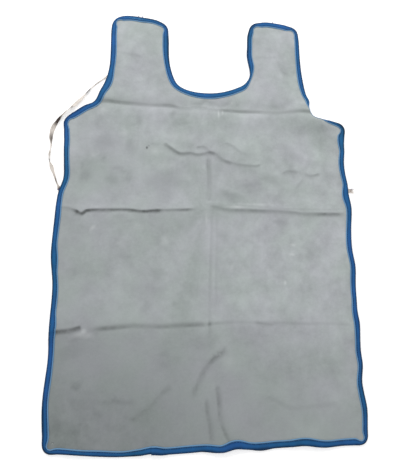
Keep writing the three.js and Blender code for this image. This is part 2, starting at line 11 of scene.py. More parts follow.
import bmesh
import bpy
import numpy as np
from mathutils import Matrix, Vector, kdtree, noise
from mathutils.bvhtree import BVHTree
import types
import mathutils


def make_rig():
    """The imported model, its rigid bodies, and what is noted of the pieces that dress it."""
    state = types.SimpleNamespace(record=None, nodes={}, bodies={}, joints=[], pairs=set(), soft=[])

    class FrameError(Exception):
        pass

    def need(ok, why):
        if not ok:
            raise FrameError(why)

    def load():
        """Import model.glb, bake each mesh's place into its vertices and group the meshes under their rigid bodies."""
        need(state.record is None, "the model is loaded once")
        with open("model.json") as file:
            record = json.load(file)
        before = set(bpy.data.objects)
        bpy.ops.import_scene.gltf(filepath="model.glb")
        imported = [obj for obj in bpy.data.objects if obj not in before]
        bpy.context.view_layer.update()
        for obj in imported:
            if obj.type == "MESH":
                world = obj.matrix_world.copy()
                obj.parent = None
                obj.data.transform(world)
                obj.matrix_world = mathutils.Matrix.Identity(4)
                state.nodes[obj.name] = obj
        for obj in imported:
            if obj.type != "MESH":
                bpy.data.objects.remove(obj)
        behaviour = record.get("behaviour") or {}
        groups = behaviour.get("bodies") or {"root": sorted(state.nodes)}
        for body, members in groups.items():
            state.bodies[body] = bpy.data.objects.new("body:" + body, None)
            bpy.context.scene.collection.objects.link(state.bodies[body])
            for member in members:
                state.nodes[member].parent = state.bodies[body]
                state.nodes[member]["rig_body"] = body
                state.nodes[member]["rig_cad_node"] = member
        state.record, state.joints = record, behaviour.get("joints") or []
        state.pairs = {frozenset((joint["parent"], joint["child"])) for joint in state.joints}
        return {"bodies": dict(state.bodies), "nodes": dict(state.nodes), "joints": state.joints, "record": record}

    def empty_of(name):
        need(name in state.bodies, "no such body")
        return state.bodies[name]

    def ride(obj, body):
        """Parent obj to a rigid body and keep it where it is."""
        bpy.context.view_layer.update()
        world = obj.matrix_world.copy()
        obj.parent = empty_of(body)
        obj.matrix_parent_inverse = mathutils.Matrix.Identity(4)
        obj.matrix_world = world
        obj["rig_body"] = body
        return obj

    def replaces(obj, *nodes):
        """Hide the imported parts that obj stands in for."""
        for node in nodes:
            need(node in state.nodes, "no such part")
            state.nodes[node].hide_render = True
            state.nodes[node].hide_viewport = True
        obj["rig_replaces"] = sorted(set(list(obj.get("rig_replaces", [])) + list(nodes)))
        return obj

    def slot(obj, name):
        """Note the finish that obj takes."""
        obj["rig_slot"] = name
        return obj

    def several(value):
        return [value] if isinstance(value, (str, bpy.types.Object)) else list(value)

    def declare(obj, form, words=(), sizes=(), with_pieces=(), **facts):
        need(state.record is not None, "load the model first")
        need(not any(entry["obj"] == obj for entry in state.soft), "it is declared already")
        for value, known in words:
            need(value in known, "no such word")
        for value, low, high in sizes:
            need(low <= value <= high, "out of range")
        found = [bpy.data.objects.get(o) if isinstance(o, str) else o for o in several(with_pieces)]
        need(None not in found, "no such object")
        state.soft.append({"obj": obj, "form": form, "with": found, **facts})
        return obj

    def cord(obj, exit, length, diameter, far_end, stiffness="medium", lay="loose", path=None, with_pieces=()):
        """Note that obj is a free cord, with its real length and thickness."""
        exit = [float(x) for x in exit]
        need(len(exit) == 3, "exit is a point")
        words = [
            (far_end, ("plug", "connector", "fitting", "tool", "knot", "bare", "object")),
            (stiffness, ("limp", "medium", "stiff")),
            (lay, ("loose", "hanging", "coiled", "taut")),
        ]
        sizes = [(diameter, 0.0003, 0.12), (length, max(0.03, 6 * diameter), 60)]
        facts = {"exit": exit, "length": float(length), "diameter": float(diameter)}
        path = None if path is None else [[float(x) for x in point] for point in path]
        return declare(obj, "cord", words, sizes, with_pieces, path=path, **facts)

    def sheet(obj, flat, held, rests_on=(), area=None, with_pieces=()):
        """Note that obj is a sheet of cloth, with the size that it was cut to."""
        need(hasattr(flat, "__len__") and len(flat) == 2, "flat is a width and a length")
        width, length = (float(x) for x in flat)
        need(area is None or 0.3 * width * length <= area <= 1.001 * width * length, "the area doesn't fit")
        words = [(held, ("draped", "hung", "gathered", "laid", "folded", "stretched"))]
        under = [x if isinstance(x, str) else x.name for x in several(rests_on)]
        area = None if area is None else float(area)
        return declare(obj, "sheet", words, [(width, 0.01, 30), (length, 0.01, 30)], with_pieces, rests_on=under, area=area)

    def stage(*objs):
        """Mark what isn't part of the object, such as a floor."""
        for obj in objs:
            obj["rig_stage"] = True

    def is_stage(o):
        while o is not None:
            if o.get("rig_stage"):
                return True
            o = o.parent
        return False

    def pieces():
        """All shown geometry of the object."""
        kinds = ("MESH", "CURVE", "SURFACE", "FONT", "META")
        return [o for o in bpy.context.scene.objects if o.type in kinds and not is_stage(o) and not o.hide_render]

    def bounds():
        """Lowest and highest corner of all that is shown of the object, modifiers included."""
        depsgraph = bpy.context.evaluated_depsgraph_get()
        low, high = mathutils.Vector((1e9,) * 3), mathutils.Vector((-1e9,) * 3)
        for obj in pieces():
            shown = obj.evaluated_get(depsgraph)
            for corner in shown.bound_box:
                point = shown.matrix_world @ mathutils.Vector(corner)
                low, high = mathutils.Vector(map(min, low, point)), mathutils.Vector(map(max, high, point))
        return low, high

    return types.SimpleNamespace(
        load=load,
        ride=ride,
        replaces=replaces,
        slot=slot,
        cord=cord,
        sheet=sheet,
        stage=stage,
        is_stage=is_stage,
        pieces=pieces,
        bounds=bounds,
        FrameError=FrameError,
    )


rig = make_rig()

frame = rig.load()
cad_low, cad_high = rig.bounds()
print("packed apron, metres:", [round(c, 4) for c in cad_high - cad_low])

# %% [markdown]
# ## One ruler for the whole lesson
# The apron was measured on its cutting pattern, in millimetres: the middle of the hem is nothing, x runs
# across and y runs up to the shoulder tabs. Blender works in metres about the middle of the panel, so one
# small function carries a point of the pattern into the scene.

# %% Carry a point of the pattern into the scene
MM = 0.001
PATTERN_HOME = Vector((2.53, -449.10, 0.0)) * MM


def spot(x, y, z=0.0):
    """A point of the cutting pattern, in millimetres, as a place in the scene, in metres."""
    return PATTERN_HOME + Vector((x, y, z)) * MM


print("middle of the hem lies at", [round(c, 4) for c in spot(0, 0)])

# %% [markdown]
# ## The camera
# The photograph looks almost straight down from a little below the middle of the apron. A camera can be
# aimed with a constraint, but the picture was solved as a position and three directions, so those go
# straight into the camera's matrix: its own right, up and backward axes are the columns.

# %% Stand the camera where the photograph was taken
LOOK_RIGHT = Vector((0.99755, -0.0091, 0.06938))
LOOK_DOWN = Vector((0.00536, -0.97865, -0.20545))
LOOK_AHEAD = Vector((0.06977, 0.20532, -0.97621))
LOOK_FROM = Vector((-0.07278, -0.22267, 0.90493))
SENSOR_WIDTH = 36
LENS = 35.14

scene = bpy.context.scene
camera = bpy.data.objects.new("camera", bpy.data.cameras.new("camera"))
scene.collection.objects.link(camera)
axes = Matrix((LOOK_RIGHT, -LOOK_DOWN, -LOOK_AHEAD)).transposed()
camera.matrix_world = Matrix.Translation(LOOK_FROM) @ axes.to_4x4()
camera.data.sensor_width = SENSOR_WIDTH
camera.data.lens = LENS
scene.camera = camera
print("camera stands", round(LOOK_FROM.z, 3), "m above the floor")

# %% [markdown]
# ## Smooth lines through a few points
# The straps and the folds both follow lines that were measured at a few points. A curve object could do
# it, but the script needs the places themselves, so a short function draws the eased curve that passes
# through every point without swinging past it.

# %% Draw a smooth line through a few points
def smooth_line(points, steps=24):
    """A fine line through the points, with the share of the rows that each fine point has reached."""
    rows = np.array(points, float)
    rows = np.vstack([2 * rows[0] - rows[1], rows, 2 * rows[-1] - rows[-2]])
    made, reached = [], []
    for k in range(1, len(rows) - 2):
        a, b, c, d = rows[k - 1 : k + 3]
        before, here, after = (np.linalg.norm(q - p) ** 0.5 for p, q in ((a, b), (b, c), (c, d)))
        leave = ((b - a) / before - (c - a) / (before + here) + (c - b) / here) * here
        arrive = ((c - b) / here - (d - b) / (here + after) + (d - c) / after) * here
        for t in np.arange(steps) / steps:
            cube = (2 * b - 2 * c + leave + arrive) * t**3
            made.append(b + leave * t + (3 * c - 3 * b - 2 * leave - arrive) * t**2 + cube)
            reached.append(k - 1 + t)
    made.append(rows[-2])
    reached.append(len(rows) - 3)
    return np.array(made), np.array(reached)


def ease(t):
    """From nothing to one with a soft start and end."""
    t = np.clip(t, 0.0, 1.0)
    return t * t * (3 - 2 * t)


def walked(line):
    """How far along a line each of its points lies."""
    return np.concatenate([[0.0], np.cumsum(np.linalg.norm(np.diff(line, axis=0), axis=1))])


corner, _ = smooth_line([(0, 0), (10, 0), (10, 10)])
print("a test line has", len(corner), "points and is", round(walked(corner)[-1], 1), "long")

# %% [markdown]
# ## Rolling a grid into a band
# Straps, edge tape and threads are all long bands with a small closed section. Blender can extrude a
# section step by step, but a grid does it in one move: its first direction runs along the band, its
# second one goes round the section, and the two long sides meet and are merged. The grid brings a
# texture map with it, which is stretched to real metres so that a weave keeps its true size.

# %% Roll a flat grid into a closed band
SAME_PLACE = 1e-7


def rolled(bm, place, along, around):
    """Adds a band: place(i, j) is point j of section i; along and around are the metres of its map."""
    sections, points = len(along) - 1, len(around) - 1
    weave = bm.loops.layers.uv.get("weave") or bm.loops.layers.uv.new("weave")
    grid = bmesh.ops.create_grid(bm, x_segments=sections, y_segments=points, size=1, calc_uvs=True)
    verts = grid["verts"]
    for face in {face for vert in verts for face in vert.link_faces}:
        face.smooth = True
        for loop in face.loops:
            i, j = round(loop[weave].uv.x * sections), round(loop[weave].uv.y * points)
            loop[weave].uv = (along[i], around[j])
    for vert in verts:
        i = round((vert.co.x + 1) / 2 * sections)
        j = round((vert.co.y + 1) / 2 * points) % points
        vert.co = place(i, j)
    bmesh.ops.remove_doubles(bm, verts=verts, dist=SAME_PLACE)
    rims = [edge for edge in bm.edges if edge.is_boundary]
    bmesh.ops.holes_fill(bm, edges=rims, sides=0)


def once_round(section):
    """How far round a closed section each of its points lies, in metres, and the whole way last."""
    return walked(np.array(section + section[:1])) * MM


def as_object(name, bm):
    """Turns finished geometry into an object at the origin."""
    mesh = bpy.data.meshes.new(name)
    bm.to_mesh(mesh)
    bm.free()
    made = bpy.data.objects.new(name, mesh)
    scene.collection.objects.link(made)
    return made


def as_piece(name, bm):
    """Turns finished geometry into a piece that moves with the apron."""
    piece = as_object(name, bm)
    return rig.ride(piece, "root")


print("bands are rolled from grids")

# %% [markdown]
# ## Soft spots
# Soil, rubbing and stains are soft round spots at known places of the pattern. One short function adds up
# such spots for many places at once, and the straps and the leather both use it.

# %% Add up soft spots on the pattern
def on_pattern(points):
    """Places of the scene as millimetres on the pattern, seen from above."""
    flat = np.array([(p.x, p.y) for p in points])
    return (flat - np.array(PATTERN_HOME.xy)) / MM


def hump(distance):
    """One in the middle, nothing from a distance of one on."""
    return np.where(np.abs(distance) < 1, (1 - np.square(distance)) ** 2, 0.0)


def spots_at(rows, places):
    """The sum of soft round spots at each place: across, up, reach across, reach up, strength."""
    total = np.zeros(len(places))
    for x, y, wide, tall, strength in rows:
        total += strength * hump(np.hypot((places[:, 0] - x) / wide, (places[:, 1] - y) / tall))
    return total


def keep_on_points(bm, name, values):
    """Keeps one number on every point, for a finish to read."""
    layer = bm.verts.layers.float.new(name)
    for vert, value in zip(bm.verts, values):
        vert[layer] = float(np.clip(value, 0, 1))


print("half way out a spot still has", round(float(hump(0.5)), 2), "of its strength")

# %% [markdown]
# ## The shoulder straps
# Each strap is a limp cotton tape, 10 mm wide, sewn under a shoulder tab and under the side of the body.
# The left one is seen leaving the armhole, bunched and twisting on its way, and goes back under the edge.
# Only the frayed end of the right one shows. A curve with a bevel would twist by its own rules, so each
# row of the route says how far the tape has turned and how much of its width is spread, and the tape
# always rests on the floor.

# %% Lay the two straps along their routes
STRAP_WIDTH = 10.0
STRAP_THICK = 1.0
STRAP_STEP = 2.5
BUNCHING = 0.9
OFF_FLOOR = 0.02
LEFT_ROUTE = [
    # across, up the pattern, turn in degrees, share of the width that is spread
    (-143, 903, 0, 1.0), (-145, 868, 0, 1.0), (-156, 822, 0, 1.0), (-180, 785, 0, 1.0), (-207, 765, 0, 0.8),
    (-224, 752, 0, 0.3), (-236, 742, 35, 0.22), (-248, 730, 62, 0.3), (-258, 717, 60, 0.6),
    (-269, 703, 24, 0.9), (-281, 690, 18, 0.95), (-291, 680, 60, 0.85), (-303, 668, 72, 0.75),
    (-314, 651, 104, 0.9), (-323, 634, 138, 1.0), (-326, 615, 128, 0.9), (-325, 597, 94, 0.5),
    (-327, 580, 45, 0.72), (-327, 564, 84, 0.5), (-321, 548, 26, 0.95), (-315, 532, 48, 0.6),
    (-309, 515, 60, 0.42), (-300, 499, 0, 0.9), (-279, 488, 0, 1.0),
]
RIGHT_ROUTE = [
    (150, 901, 0, 1.0), (148, 850, 0, 1.0), (142, 790, 0, 1.0), (138, 720, 0, 1.0), (144, 650, 0, 1.0),
    (168, 588, 0, 1.0), (212, 540, 0, 1.0), (268, 512, 0, 1.0), (311, 505, 0, 0.9),
]
# darker patches where the strap twists: partly soil, partly painted shade
STRAP_SOIL_AND_SHADE = [
    # across, up, reach across, reach up, strength
    (-254, 722, 11, 14, 1.2), (-287, 683, 7, 7, 0.7), (-312, 652, 16, 22, 1.0), (-324, 612, 9, 20, 0.75),
    (-328, 577, 9, 11, 0.5), (-327, 564, 8, 8, 0.9), (-310, 520, 8, 18, 0.6), (-303, 502, 8, 8, 0.8),
    (-236, 742, 16, 16, 0.4), (-275, 696, 20, 20, 0.16), (-320, 550, 16, 24, 0.14),
]
# A quarter of the strap's section, from its edge to the middle of its face: thicker at the selvedge
STRAP_FACE = [(5.0, 0.0), (4.75, 0.42), (4.1, 0.5), (2.4, 0.38), (0.0, 0.42)]


def strap_section():
    """The whole section of a strap, once round."""
    top = STRAP_FACE + [(-x, z) for x, z in STRAP_FACE[-2::-1]]
    return top + [(x, -z) for x, z in top[-2:0:-1]]


def strap_places(route):
    """Even places along a route, with the tape's turn and its spread width at each of them."""
    line, reached = smooth_line([row[:2] for row in route])
    far = walked(line)
    even = np.linspace(0, far[-1], round(far[-1] / STRAP_STEP) + 1)
    line = np.stack([np.interp(even, far, line[:, k]) for k in (0, 1)], axis=1)
    share = np.interp(even, far, reached)
    row = np.minimum(share.astype(int), len(route) - 2)
    part = ease(share - row)
    turns, widths = np.radians([r[2] for r in route]), np.array([r[3] for r in route])
    blend = [values[row] + (values[row + 1] - values[row]) * part for values in (turns, widths)]
    return line, blend[0], blend[1]


def strap(name, route):
    """One strap as a piece, with the line through its middle."""
    line, turns, widths = strap_places(route)
    heading = np.gradient(line, axis=0)
    section = strap_section()
    middles, frames = [], []
    for (x, y), (dx, dy), turn, spread in zip(line, heading, turns, widths):
        along = Vector((dx, dy, 0)).normalized()
        across = Matrix.Rotation(turn, 3, along) @ Vector((-along.y, along.x, 0))
        thick = STRAP_THICK * (1 + BUNCHING * (1 - spread) * abs(math.sin(turn)))
        rest = (STRAP_WIDTH * spread * abs(math.sin(turn)) + thick * abs(math.cos(turn))) / 2
        middles.append(spot(x, y, rest + OFF_FLOOR))
        frames.append((across * spread, along.cross(across) * thick / STRAP_THICK))

    def place(i, j):
        across, up = frames[i]
        return middles[i] + across * section[j][0] * MM + up * section[j][1] * MM

    bm = bmesh.new()
    rolled(bm, place, walked(line) * MM, once_round(section))
    bmesh.ops.recalc_face_normals(bm, faces=bm.faces)
    keep_on_points(bm, "soil_and_shade", spots_at(STRAP_SOIL_AND_SHADE, on_pattern([vert.co for vert in bm.verts])))
    return as_piece(name, bm), middles


strap_left, left_line = strap("shoulder_strap_left", LEFT_ROUTE)
strap_right, right_line = strap("shoulder_strap_right", RIGHT_ROUTE)
for piece, line, node in ((strap_left, left_line, "strap_left"), (strap_right, right_line, "strap_right")):
    length = walked(np.array(line))[-1]
    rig.cord(piece, exit=line[0], length=length, diameter=STRAP_WIDTH * MM, far_end="object",
            stiffness="limp", lay="loose", path=line)
    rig.replaces(piece, node)
    print(piece.name, "is", round(length, 3), "m long")

# %% [markdown]
# ## The leather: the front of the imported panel
# The panel is a thin sheet that drapes over its own packing folds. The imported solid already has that
# drape, so a copy of its front is the start: merge its loose triangles, spread out from one face on the
# front without stepping on the narrow rim wall, and throw the rest away. A sheet of squares bends better
# than triangles, so pairs of triangles are joined, and a subdivision surface softens the facets. Such a
# surface draws its rim in at every corner, so the rim is pushed out first by just that much. The knife did
# not run quite true, so in a few places the cut edge is then pulled a little in or out.

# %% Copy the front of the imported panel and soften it
RIM_WALL = 1.7 * MM
SAME_CORNER = 1e-5
FACES_UP = 0.9
SHARP_TURN = 1.15
ANY_ANGLE = 3.1
SOFTENING = 2


def front_of(node):
    """A bmesh of the front faces of a packed sheet: every face of its rim wall has one short side."""
    bm = bmesh.new()
    bm.from_mesh(frame["nodes"][node].data)
    bmesh.ops.remove_doubles(bm, verts=bm.verts, dist=SAME_CORNER)
    bm.normal_update()
    first = min(bm.faces, key=lambda f: (f.normal.z < FACES_UP, f.calc_center_median().length))
    front, waiting = {first}, [first]
    while waiting:
        face = waiting.pop()
        for edge in face.edges:
            for other in edge.link_faces:
                wall = min(side.calc_length() for side in other.edges) < RIM_WALL
                if other not in front and not wall and face.normal.angle(other.normal) < SHARP_TURN:
                    front.add(other)
                    waiting.append(other)
    bmesh.ops.delete(bm, geom=[face for face in bm.faces if face not in front], context="FACES")
    return bm


def ordered_rim(bm):
    """The outer edge of the sheet, point after point, from the lower left corner and anticlockwise."""
    follow = {}
    for edge in bm.edges:
        if edge.is_boundary:
            loop = edge.link_loops[0]
            follow[loop.vert] = loop.link_loop_next.vert
    ring = [min(follow, key=lambda vert: vert.co.x + vert.co.y)]
    while follow[ring[-1]] is not ring[0]:
        ring.append(follow[ring[-1]])
    return ring


def unit(rows):
    """Each row of a table, made one long."""
    return rows / np.linalg.norm(rows, axis=1, keepdims=True)


def push_rim_out(bm):
    """Moves the rim out by what a subdivision surface draws it in: a sixth of the way to each neighbour."""
    ring = ordered_rim(bm)
    at = np.array([vert.co for vert in ring])
    before, after = np.roll(at, 1, 0), np.roll(at, -1, 0)
    heading = unit(after - before)
    lost = (2 * at - before - after) / 6
    lost -= np.sum(lost * heading, axis=1, keepdims=True) * heading
    for vert, place in zip(ring, at + lost):
        vert.co = place


def softened(bm):
    """The same sheet, squared and subdivided."""
    bmesh.ops.join_triangles(bm, faces=bm.faces, angle_face_threshold=ANY_ANGLE,
                             angle_shape_threshold=ANY_ANGLE)
    push_rim_out(bm)
    draft = as_object("draft", bm)
    soften = draft.modifiers.new("soften", "SUBSURF")
    soften.levels = soften.render_levels = SOFTENING
    made = bmesh.new()
    made.from_object(draft, bpy.context.evaluated_depsgraph_get())
    mesh = draft.data
    bpy.data.objects.remove(draft)
    bpy.data.meshes.remove(mesh)
    return made


PULLS = [
    # across, up, reach, and how far the cut edge is pulled across and up there, in millimetres
    (-238, 701, 26, 2.6, -2.6), (-108, -7, 22, 0, 2.6), (46, -2, 24, 0, 2.0), (180, 0, 26, 0, 1.6),
    (302, 250, 26, -1.6, 0), (301, 495, 26, -1.6, 0), (298, 612, 24, -1.8, 0), (-295, 570, 26, 1.8, 0),
    (238, 675, 20, -3.0, -3.0), (224, 706, 20, 2.4, 0), (-300, 5, 26, -2.0, -1.8), (298, 5, 24, 1.4, -1.4),
    (-292, 650, 30, 0.8, 5.0), (297, 645, 30, 1.4, 4.0), (-92, 886, 34, 2.6, 2.6), (101, 874, 40, -3.0, 0),
    (302, 124, 28, -1.8, 0), (306, 66, 30, 1.4, 0),
]
sheet = softened(front_of("leather_panel"))
flat = on_pattern([vert.co for vert in sheet.verts])
for x, y, reach, across, up in PULLS:
    share = hump(np.hypot(flat[:, 0] - x, flat[:, 1] - y) / reach)
    for vert, part in zip(sheet.verts, share):
        vert.co += Vector((across, up, 0)) * part * MM
squares = sum(len(face.verts) == 4 for face in sheet.faces)
print("front of the leather:", len(sheet.faces), "faces,", squares, "of them squares")

# %% [markdown]
# ## Folds and wrinkles
# An apron is sold folded in eight, so it carries one fold down its middle and three across, and small
# crumples where the hands pressed it. Each is written as a line with a few points. A lip rises gently on
# the left of its travel and drops steeply on the right, which is how a pressed fold catches the light. A
# valley has a soft shoulder on both sides. A bump map could fake this, but real relief also holds from
# the side.

# %% Write down the folds and wrinkles
FOLDS = [
    # kind, rise, gentle side, steep side, dirt and painted shade in it, share of its length that fades in, points
    ("lip", 1.7, 26, 9, 0.40, 0.12, [(-252, 703), (-228, 702), (-212, 702), (-165, 698), (-116, 695),
                                     (-81, 695), (-52, 692)]),
    ("lip", 1.2, 20, 9, 0.28, 0.18, [(-78, 693), (-39, 689), (-22, 692), (-3, 689), (8, 686), (54, 686)]),
    ("lip", 1.7, 26, 8, 0.44, 0.12, [(24, 686), (75, 684), (108, 684), (156, 683), (195, 684), (229, 680),
                                     (252, 678)]),
    ("lip", 0.6, 9, 34, 0.0, 0.05, [(-226, 686), (-165, 682), (-116, 680), (-56, 676), (5, 674), (75, 669),
                                    (164, 669), (226, 666)]),
    ("lip", 0.8, 8, 6, 0.35, 0.12, [(-299, 464), (-284, 463), (-270, 459), (-258, 453)]),
    ("lip", 1.9, 13, 4.2, 0.74, 0.10, [(-276, 461), (-264, 456), (-255, 451), (-247, 457), (-223, 459),
                                       (-199, 460), (-158, 460), (-134, 457), (-107, 459), (-86, 460)]),
    ("lip", 1.5, 12, 4.2, 0.52, 0.3, [(-114, 459), (-77, 460), (-46, 461), (-12, 462)]),
    ("lip", 1.4, 8, 7, 0.48, 0.06, [(-2, 468), (19, 467), (44, 462), (69, 462), (111, 461), (175, 458),
                                    (205, 455), (239, 455), (297, 455)]),
    ("lip", 1.0, 6, 5, 0.14, 0.08, [(-14, 471), (19, 473), (44, 469), (69, 470), (111, 468), (175, 464),
                                    (239, 463), (292, 463)]),
    ("lip", 0.5, 7, 4, 0.16, 0.2, [(-196, 445), (-182, 447), (-168, 450)]),
    ("lip", 0.5, 7, 4, 0.14, 0.2, [(-172, 432), (-158, 438), (-140, 439)]),
    ("lip", 0.4, 7, 4, 0.12, 0.2, [(-174, 425), (-160, 427), (-145, 429)]),
    ("lip", 1.7, 34, 9, 0.44, 0.12, [(-240, 221), (-192, 225), (-147, 229), (-96, 227), (-54, 229),
                                     (10, 231)]),
    ("lip", 1.0, 22, 6, 0.20, 0.05, [(-9, 229), (20, 232), (55, 234), (98, 232), (147, 231), (193, 229),
                                     (240, 229), (292, 226)]),
    ("lip", 0.6, 8, 4, 0.30, 0.25, [(88, 234), (98, 232), (121, 227), (135, 227)]),
    ("lip", 1.2, 10, 5, 0.22, 0.06, [(-1, 197), (-1, 232), (0, 275), (3, 355), (6, 417), (5, 458)]),
    ("lip", 0.7, 7, 5, 0.18, 0.1, [(13, 250), (14, 330), (17, 400), (16, 456)]),
    ("valley", 1.5, 17, 15, 0.38, 0.12, [(4, 470), (4, 500), (4, 536), (1, 580)]),
    ("valley", 0.7, 15, 15, 0.12, 0.15, [(2, 592), (4, 640), (6, 682)]),
    ("lip", 0.7, 12, 3, 0.20, 0.25, [(-122, 603), (-112, 605), (-100, 603)]),
    ("lip", 1.8, 17, 6.5, 0.46, 0.06, [(-93, 609), (-88, 607), (-74, 597), (-55, 586), (-35, 587),
                                       (-18, 583), (-5, 585), (6, 587), (21, 584), (35, 572), (49, 567),
                                       (60, 563)]),
    ("lip", 0.9, 12, 4, 0.30, 0.12, [(52, 566), (66, 562), (95, 559), (106, 559), (120, 563)]),
    ("lip", 1.2, 11, 5, 0.34, 0.15, [(-26, 598), (-11, 600), (-1, 598), (8, 589), (22, 584)]),
    ("lip", 1.1, 14, 6, 0.24, 0.2, [(33, 607), (46, 608), (58, 603), (72, 591), (94, 579)]),
    ("lip", 0.7, 8, 4, 0.22, 0.25, [(128, 603), (138, 599), (147, 593)]),
    ("lip", 0.5, 6, 4, 0.16, 0.25, [(130, 597), (137, 593), (145, 590)]),
    ("lip", 0.9, 11, 6, 0.32, 0.25, [(154, 538), (172, 549), (186, 549), (204, 546)]),
    ("lip", 0.9, 10, 5, 0.34, 0.25, [(209, 547), (222, 539), (233, 541), (248, 546)]),
    ("lip", 0.7, 9, 5, 0.26, 0.25, [(183, 506), (196, 519), (207, 533)]),
    ("lip", 0.5, 9, 5, 0.12, 0.25, [(218, 501), (237, 499), (256, 498)]),
    ("lip", 2.2, 14, 7, 1.05, 0.10, [(-304, 218), (-290, 220), (-275, 221), (-260, 224), (-244, 229)]),
    ("lip", 1.2, 12, 9, 0.16, 0.25, [(-272, 198), (-256, 205), (-243, 212), (-234, 220)]),
    ("valley", 1.5, 15, 15, 0.46, 0.1, [(-36, 87), (-29, 103), (-18, 127), (-6, 147), (8, 162), (25, 174),
                                        (38, 185)]),
    ("lip", 1.5, 13, 8, 0.42, 0.1, [(34, 3), (22, 34), (15, 56), (14, 77), (11, 106), (9, 118)]),
    ("lip", 0.5, 10, 7, 0.16, 0.15, [(37, -2), (30, 14), (24, 30), (18, 48)]),
    ("lip", 1.3, 11, 8, 0.42, 0.2, [(0, 4), (-4, 40), (-8, 60), (-11, 96)]),
    ("valley", 1.1, 15, 15, 0.36, 0.12, [(-154, 49), (-140, 57), (-126, 67), (-111, 78), (-98, 93),
                                         (-85, 105), (-68, 117)]),
    ("lip", 1.0, 24, 11, 0.18, 0.2, [(86, 99), (127, 88), (157, 73), (197, 75), (234, 78), (268, 82)]),
    ("lip", 0.5, 16, 9, 0.12, 0.2, [(-236, 92), (-208, 91), (-178, 87)]),
    ("lip", 0.7, 14, 6, 0.16, 0.2, [(-204, 824), (-184, 818), (-167, 816), (-149, 812), (-134, 808)]),
    ("lip", 0.7, 10, 5, 0.20, 0.2, [(163, 816), (169, 799), (175, 784), (191, 774)]),
    ("lip", 0.6, 12, 6, 0.14, 0.2, [(128, 817), (147, 818), (163, 821)]),
    ("lip", 0.5, 12, 6, 0.10, 0.2, [(-196, 756), (-165, 747), (-122, 753)]),
]
print(len(FOLDS), "folds and wrinkles,", sum(len(row[6]) for row in FOLDS), "points")

# %% [markdown]
# ## Soil, rubbed places, painted shade and painted highlights
# The leather is handled and stained: smudges on the left of the chest, a small burn, and pale rubs. The
# darker patches beside the folds are painted shade, and the pale bands along the lit side of the folds are
# painted highlights. These are soft spots, as on the straps. They could be painted on an image, but a short
# table keeps the script free of files, and its places can be read on the pattern.

# %% Write down soil, rubs, painted shade and painted highlights
# stains, soil and a small burn, with painted shade in the darker patches beside the folds
STAINS_AND_SHADE = [
    # across, up, reach across, reach up, strength
    (-200, 565, 100, 100, 0.10), (-214, 607, 40, 24, 0.16), (-160, 596, 16, 30, 0.18),
    (-259, 553, 8, 9, 0.34), (-249, 530, 20, 20, 0.20), (-221, 570, 9, 12, 0.20), (-190, 549, 44, 8, 0.16),
    (-164, 532, 12, 18, 0.22), (-199, 524, 18, 18, 0.18), (-92, 520, 52, 36, 0.20), (-48, 512, 24, 12, 0.14),
    (-85, 492, 50, 20, 0.10), (-142, 662, 12, 24, 0.18), (-158, 648, 10, 8, 0.10), (-70, 668, 14, 14, 0.22),
    (-52, 652, 30, 8, 0.14), (-228, 655, 12, 14, 0.14), (-226, 684, 20, 6, 0.14), (50, 490, 52, 16, 0.28),
    (92, 514, 44, 18, 0.26), (132, 533, 40, 14, 0.16), (247, 612, 10, 34, 0.14), (112, 650, 60, 14, 0.08),
    (-6, 700, 30, 9, 0.22), (38, 698, 30, 8, 0.14), (-99, 328, 14, 16, 0.14), (-62, 268, 12, 12, 0.14),
    (-122, 262, 14, 18, 0.14), (-236, 290, 26, 16, 0.12), (-165, 361, 22, 10, 0.12),
    (-262, 334, 14, 10, 0.12), (-110, 300, 60, 40, 0.08), (147, 432, 24, 8, 0.18),
    (220, 362, 10, 10, 0.14), (134, 369, 16, 12, 0.12),
    (22, 297, 22, 10, 0.10), (35, 405, 22, 16, 0.14), (211, 294, 14, 12, 0.10), (-254, 116, 20, 14, 0.13),
    (-248, 34, 34, 16, 0.12), (-170, 84, 70, 8, 0.08), (250, 30, 60, 60, 0.08), (180, 784, 16, 16, 0.14),
    (128, 818, 18, 8, 0.10), (-150, 806, 22, 8, 0.10), (-84, 146, 30, 14, 0.08), (-262, 180, 40, 24, 0.10),
    (-126, 594, 3.2, 4.4, 1.2), (-122, 598, 2.4, 2.4, 0.6), (8, 340, 50, 120, 0.05),
    (-150, 690, 100, 26, 0.06), (0, 712, 240, 34, 0.05), (20, 560, 90, 80, 0.04),
]
# rubbed wear, with painted highlights in the pale bands along the lit side of the folds
RUBS_AND_HIGHLIGHTS = [
    (27, 672, 3.2, 14, 0.48), (36, 676, 3.2, 9, 0.36), (-221, 676, 15, 15, 0.22), (-237, 578, 14, 12, 0.20),
    (-112, 588, 26, 14, 0.22), (-86, 558, 34, 16, 0.16), (-173, 627, 16, 10, 0.18), (-231, 418, 5, 8, 0.7),
    (-142, 423, 22, 10, 0.16), (-85, 396, 12, 16, 0.18), (-174, 391, 18, 12, 0.14), (158, 309, 4, 7, 0.5),
    (178, 387, 10, 4, 0.45), (175, 367, 10, 4, 0.4), (50, 339, 5, 12, 0.24), (-241, 209, 26, 9, 0.30),
    (-240, 217, 8, 8, 0.3), (60, 466, 30, 4, 0.45), (110, 472, 70, 4, 0.22), (212, 346, 8, 10, 0.2),
    (105, 430, 6, 12, 0.2), (-2, 440, 4, 24, 0.24), (-55, 622, 40, 12, 0.14), (40, 158, 20, 20, 0.12),
    (-230, 466, 60, 6, 0.14), (150, 682, 90, 8, 0.10), (-150, 690, 80, 8, 0.05), (57, 700, 5, 7, 0.24),
    (100, 508, 30, 6, 0.1), (60, 532, 40, 20, 0.12),
]
print(len(STAINS_AND_SHADE), "soiled and", len(RUBS_AND_HIGHLIGHTS), "rubbed places")

# %% [markdown]
# ## More squares where the folds are
# A wrinkle three millimetres wide needs squares smaller than that, but squares that small everywhere
# would make a heavy mesh. So only the faces close to a fold are cut again. The outermost band stays as it
# is, because the tape covers it.

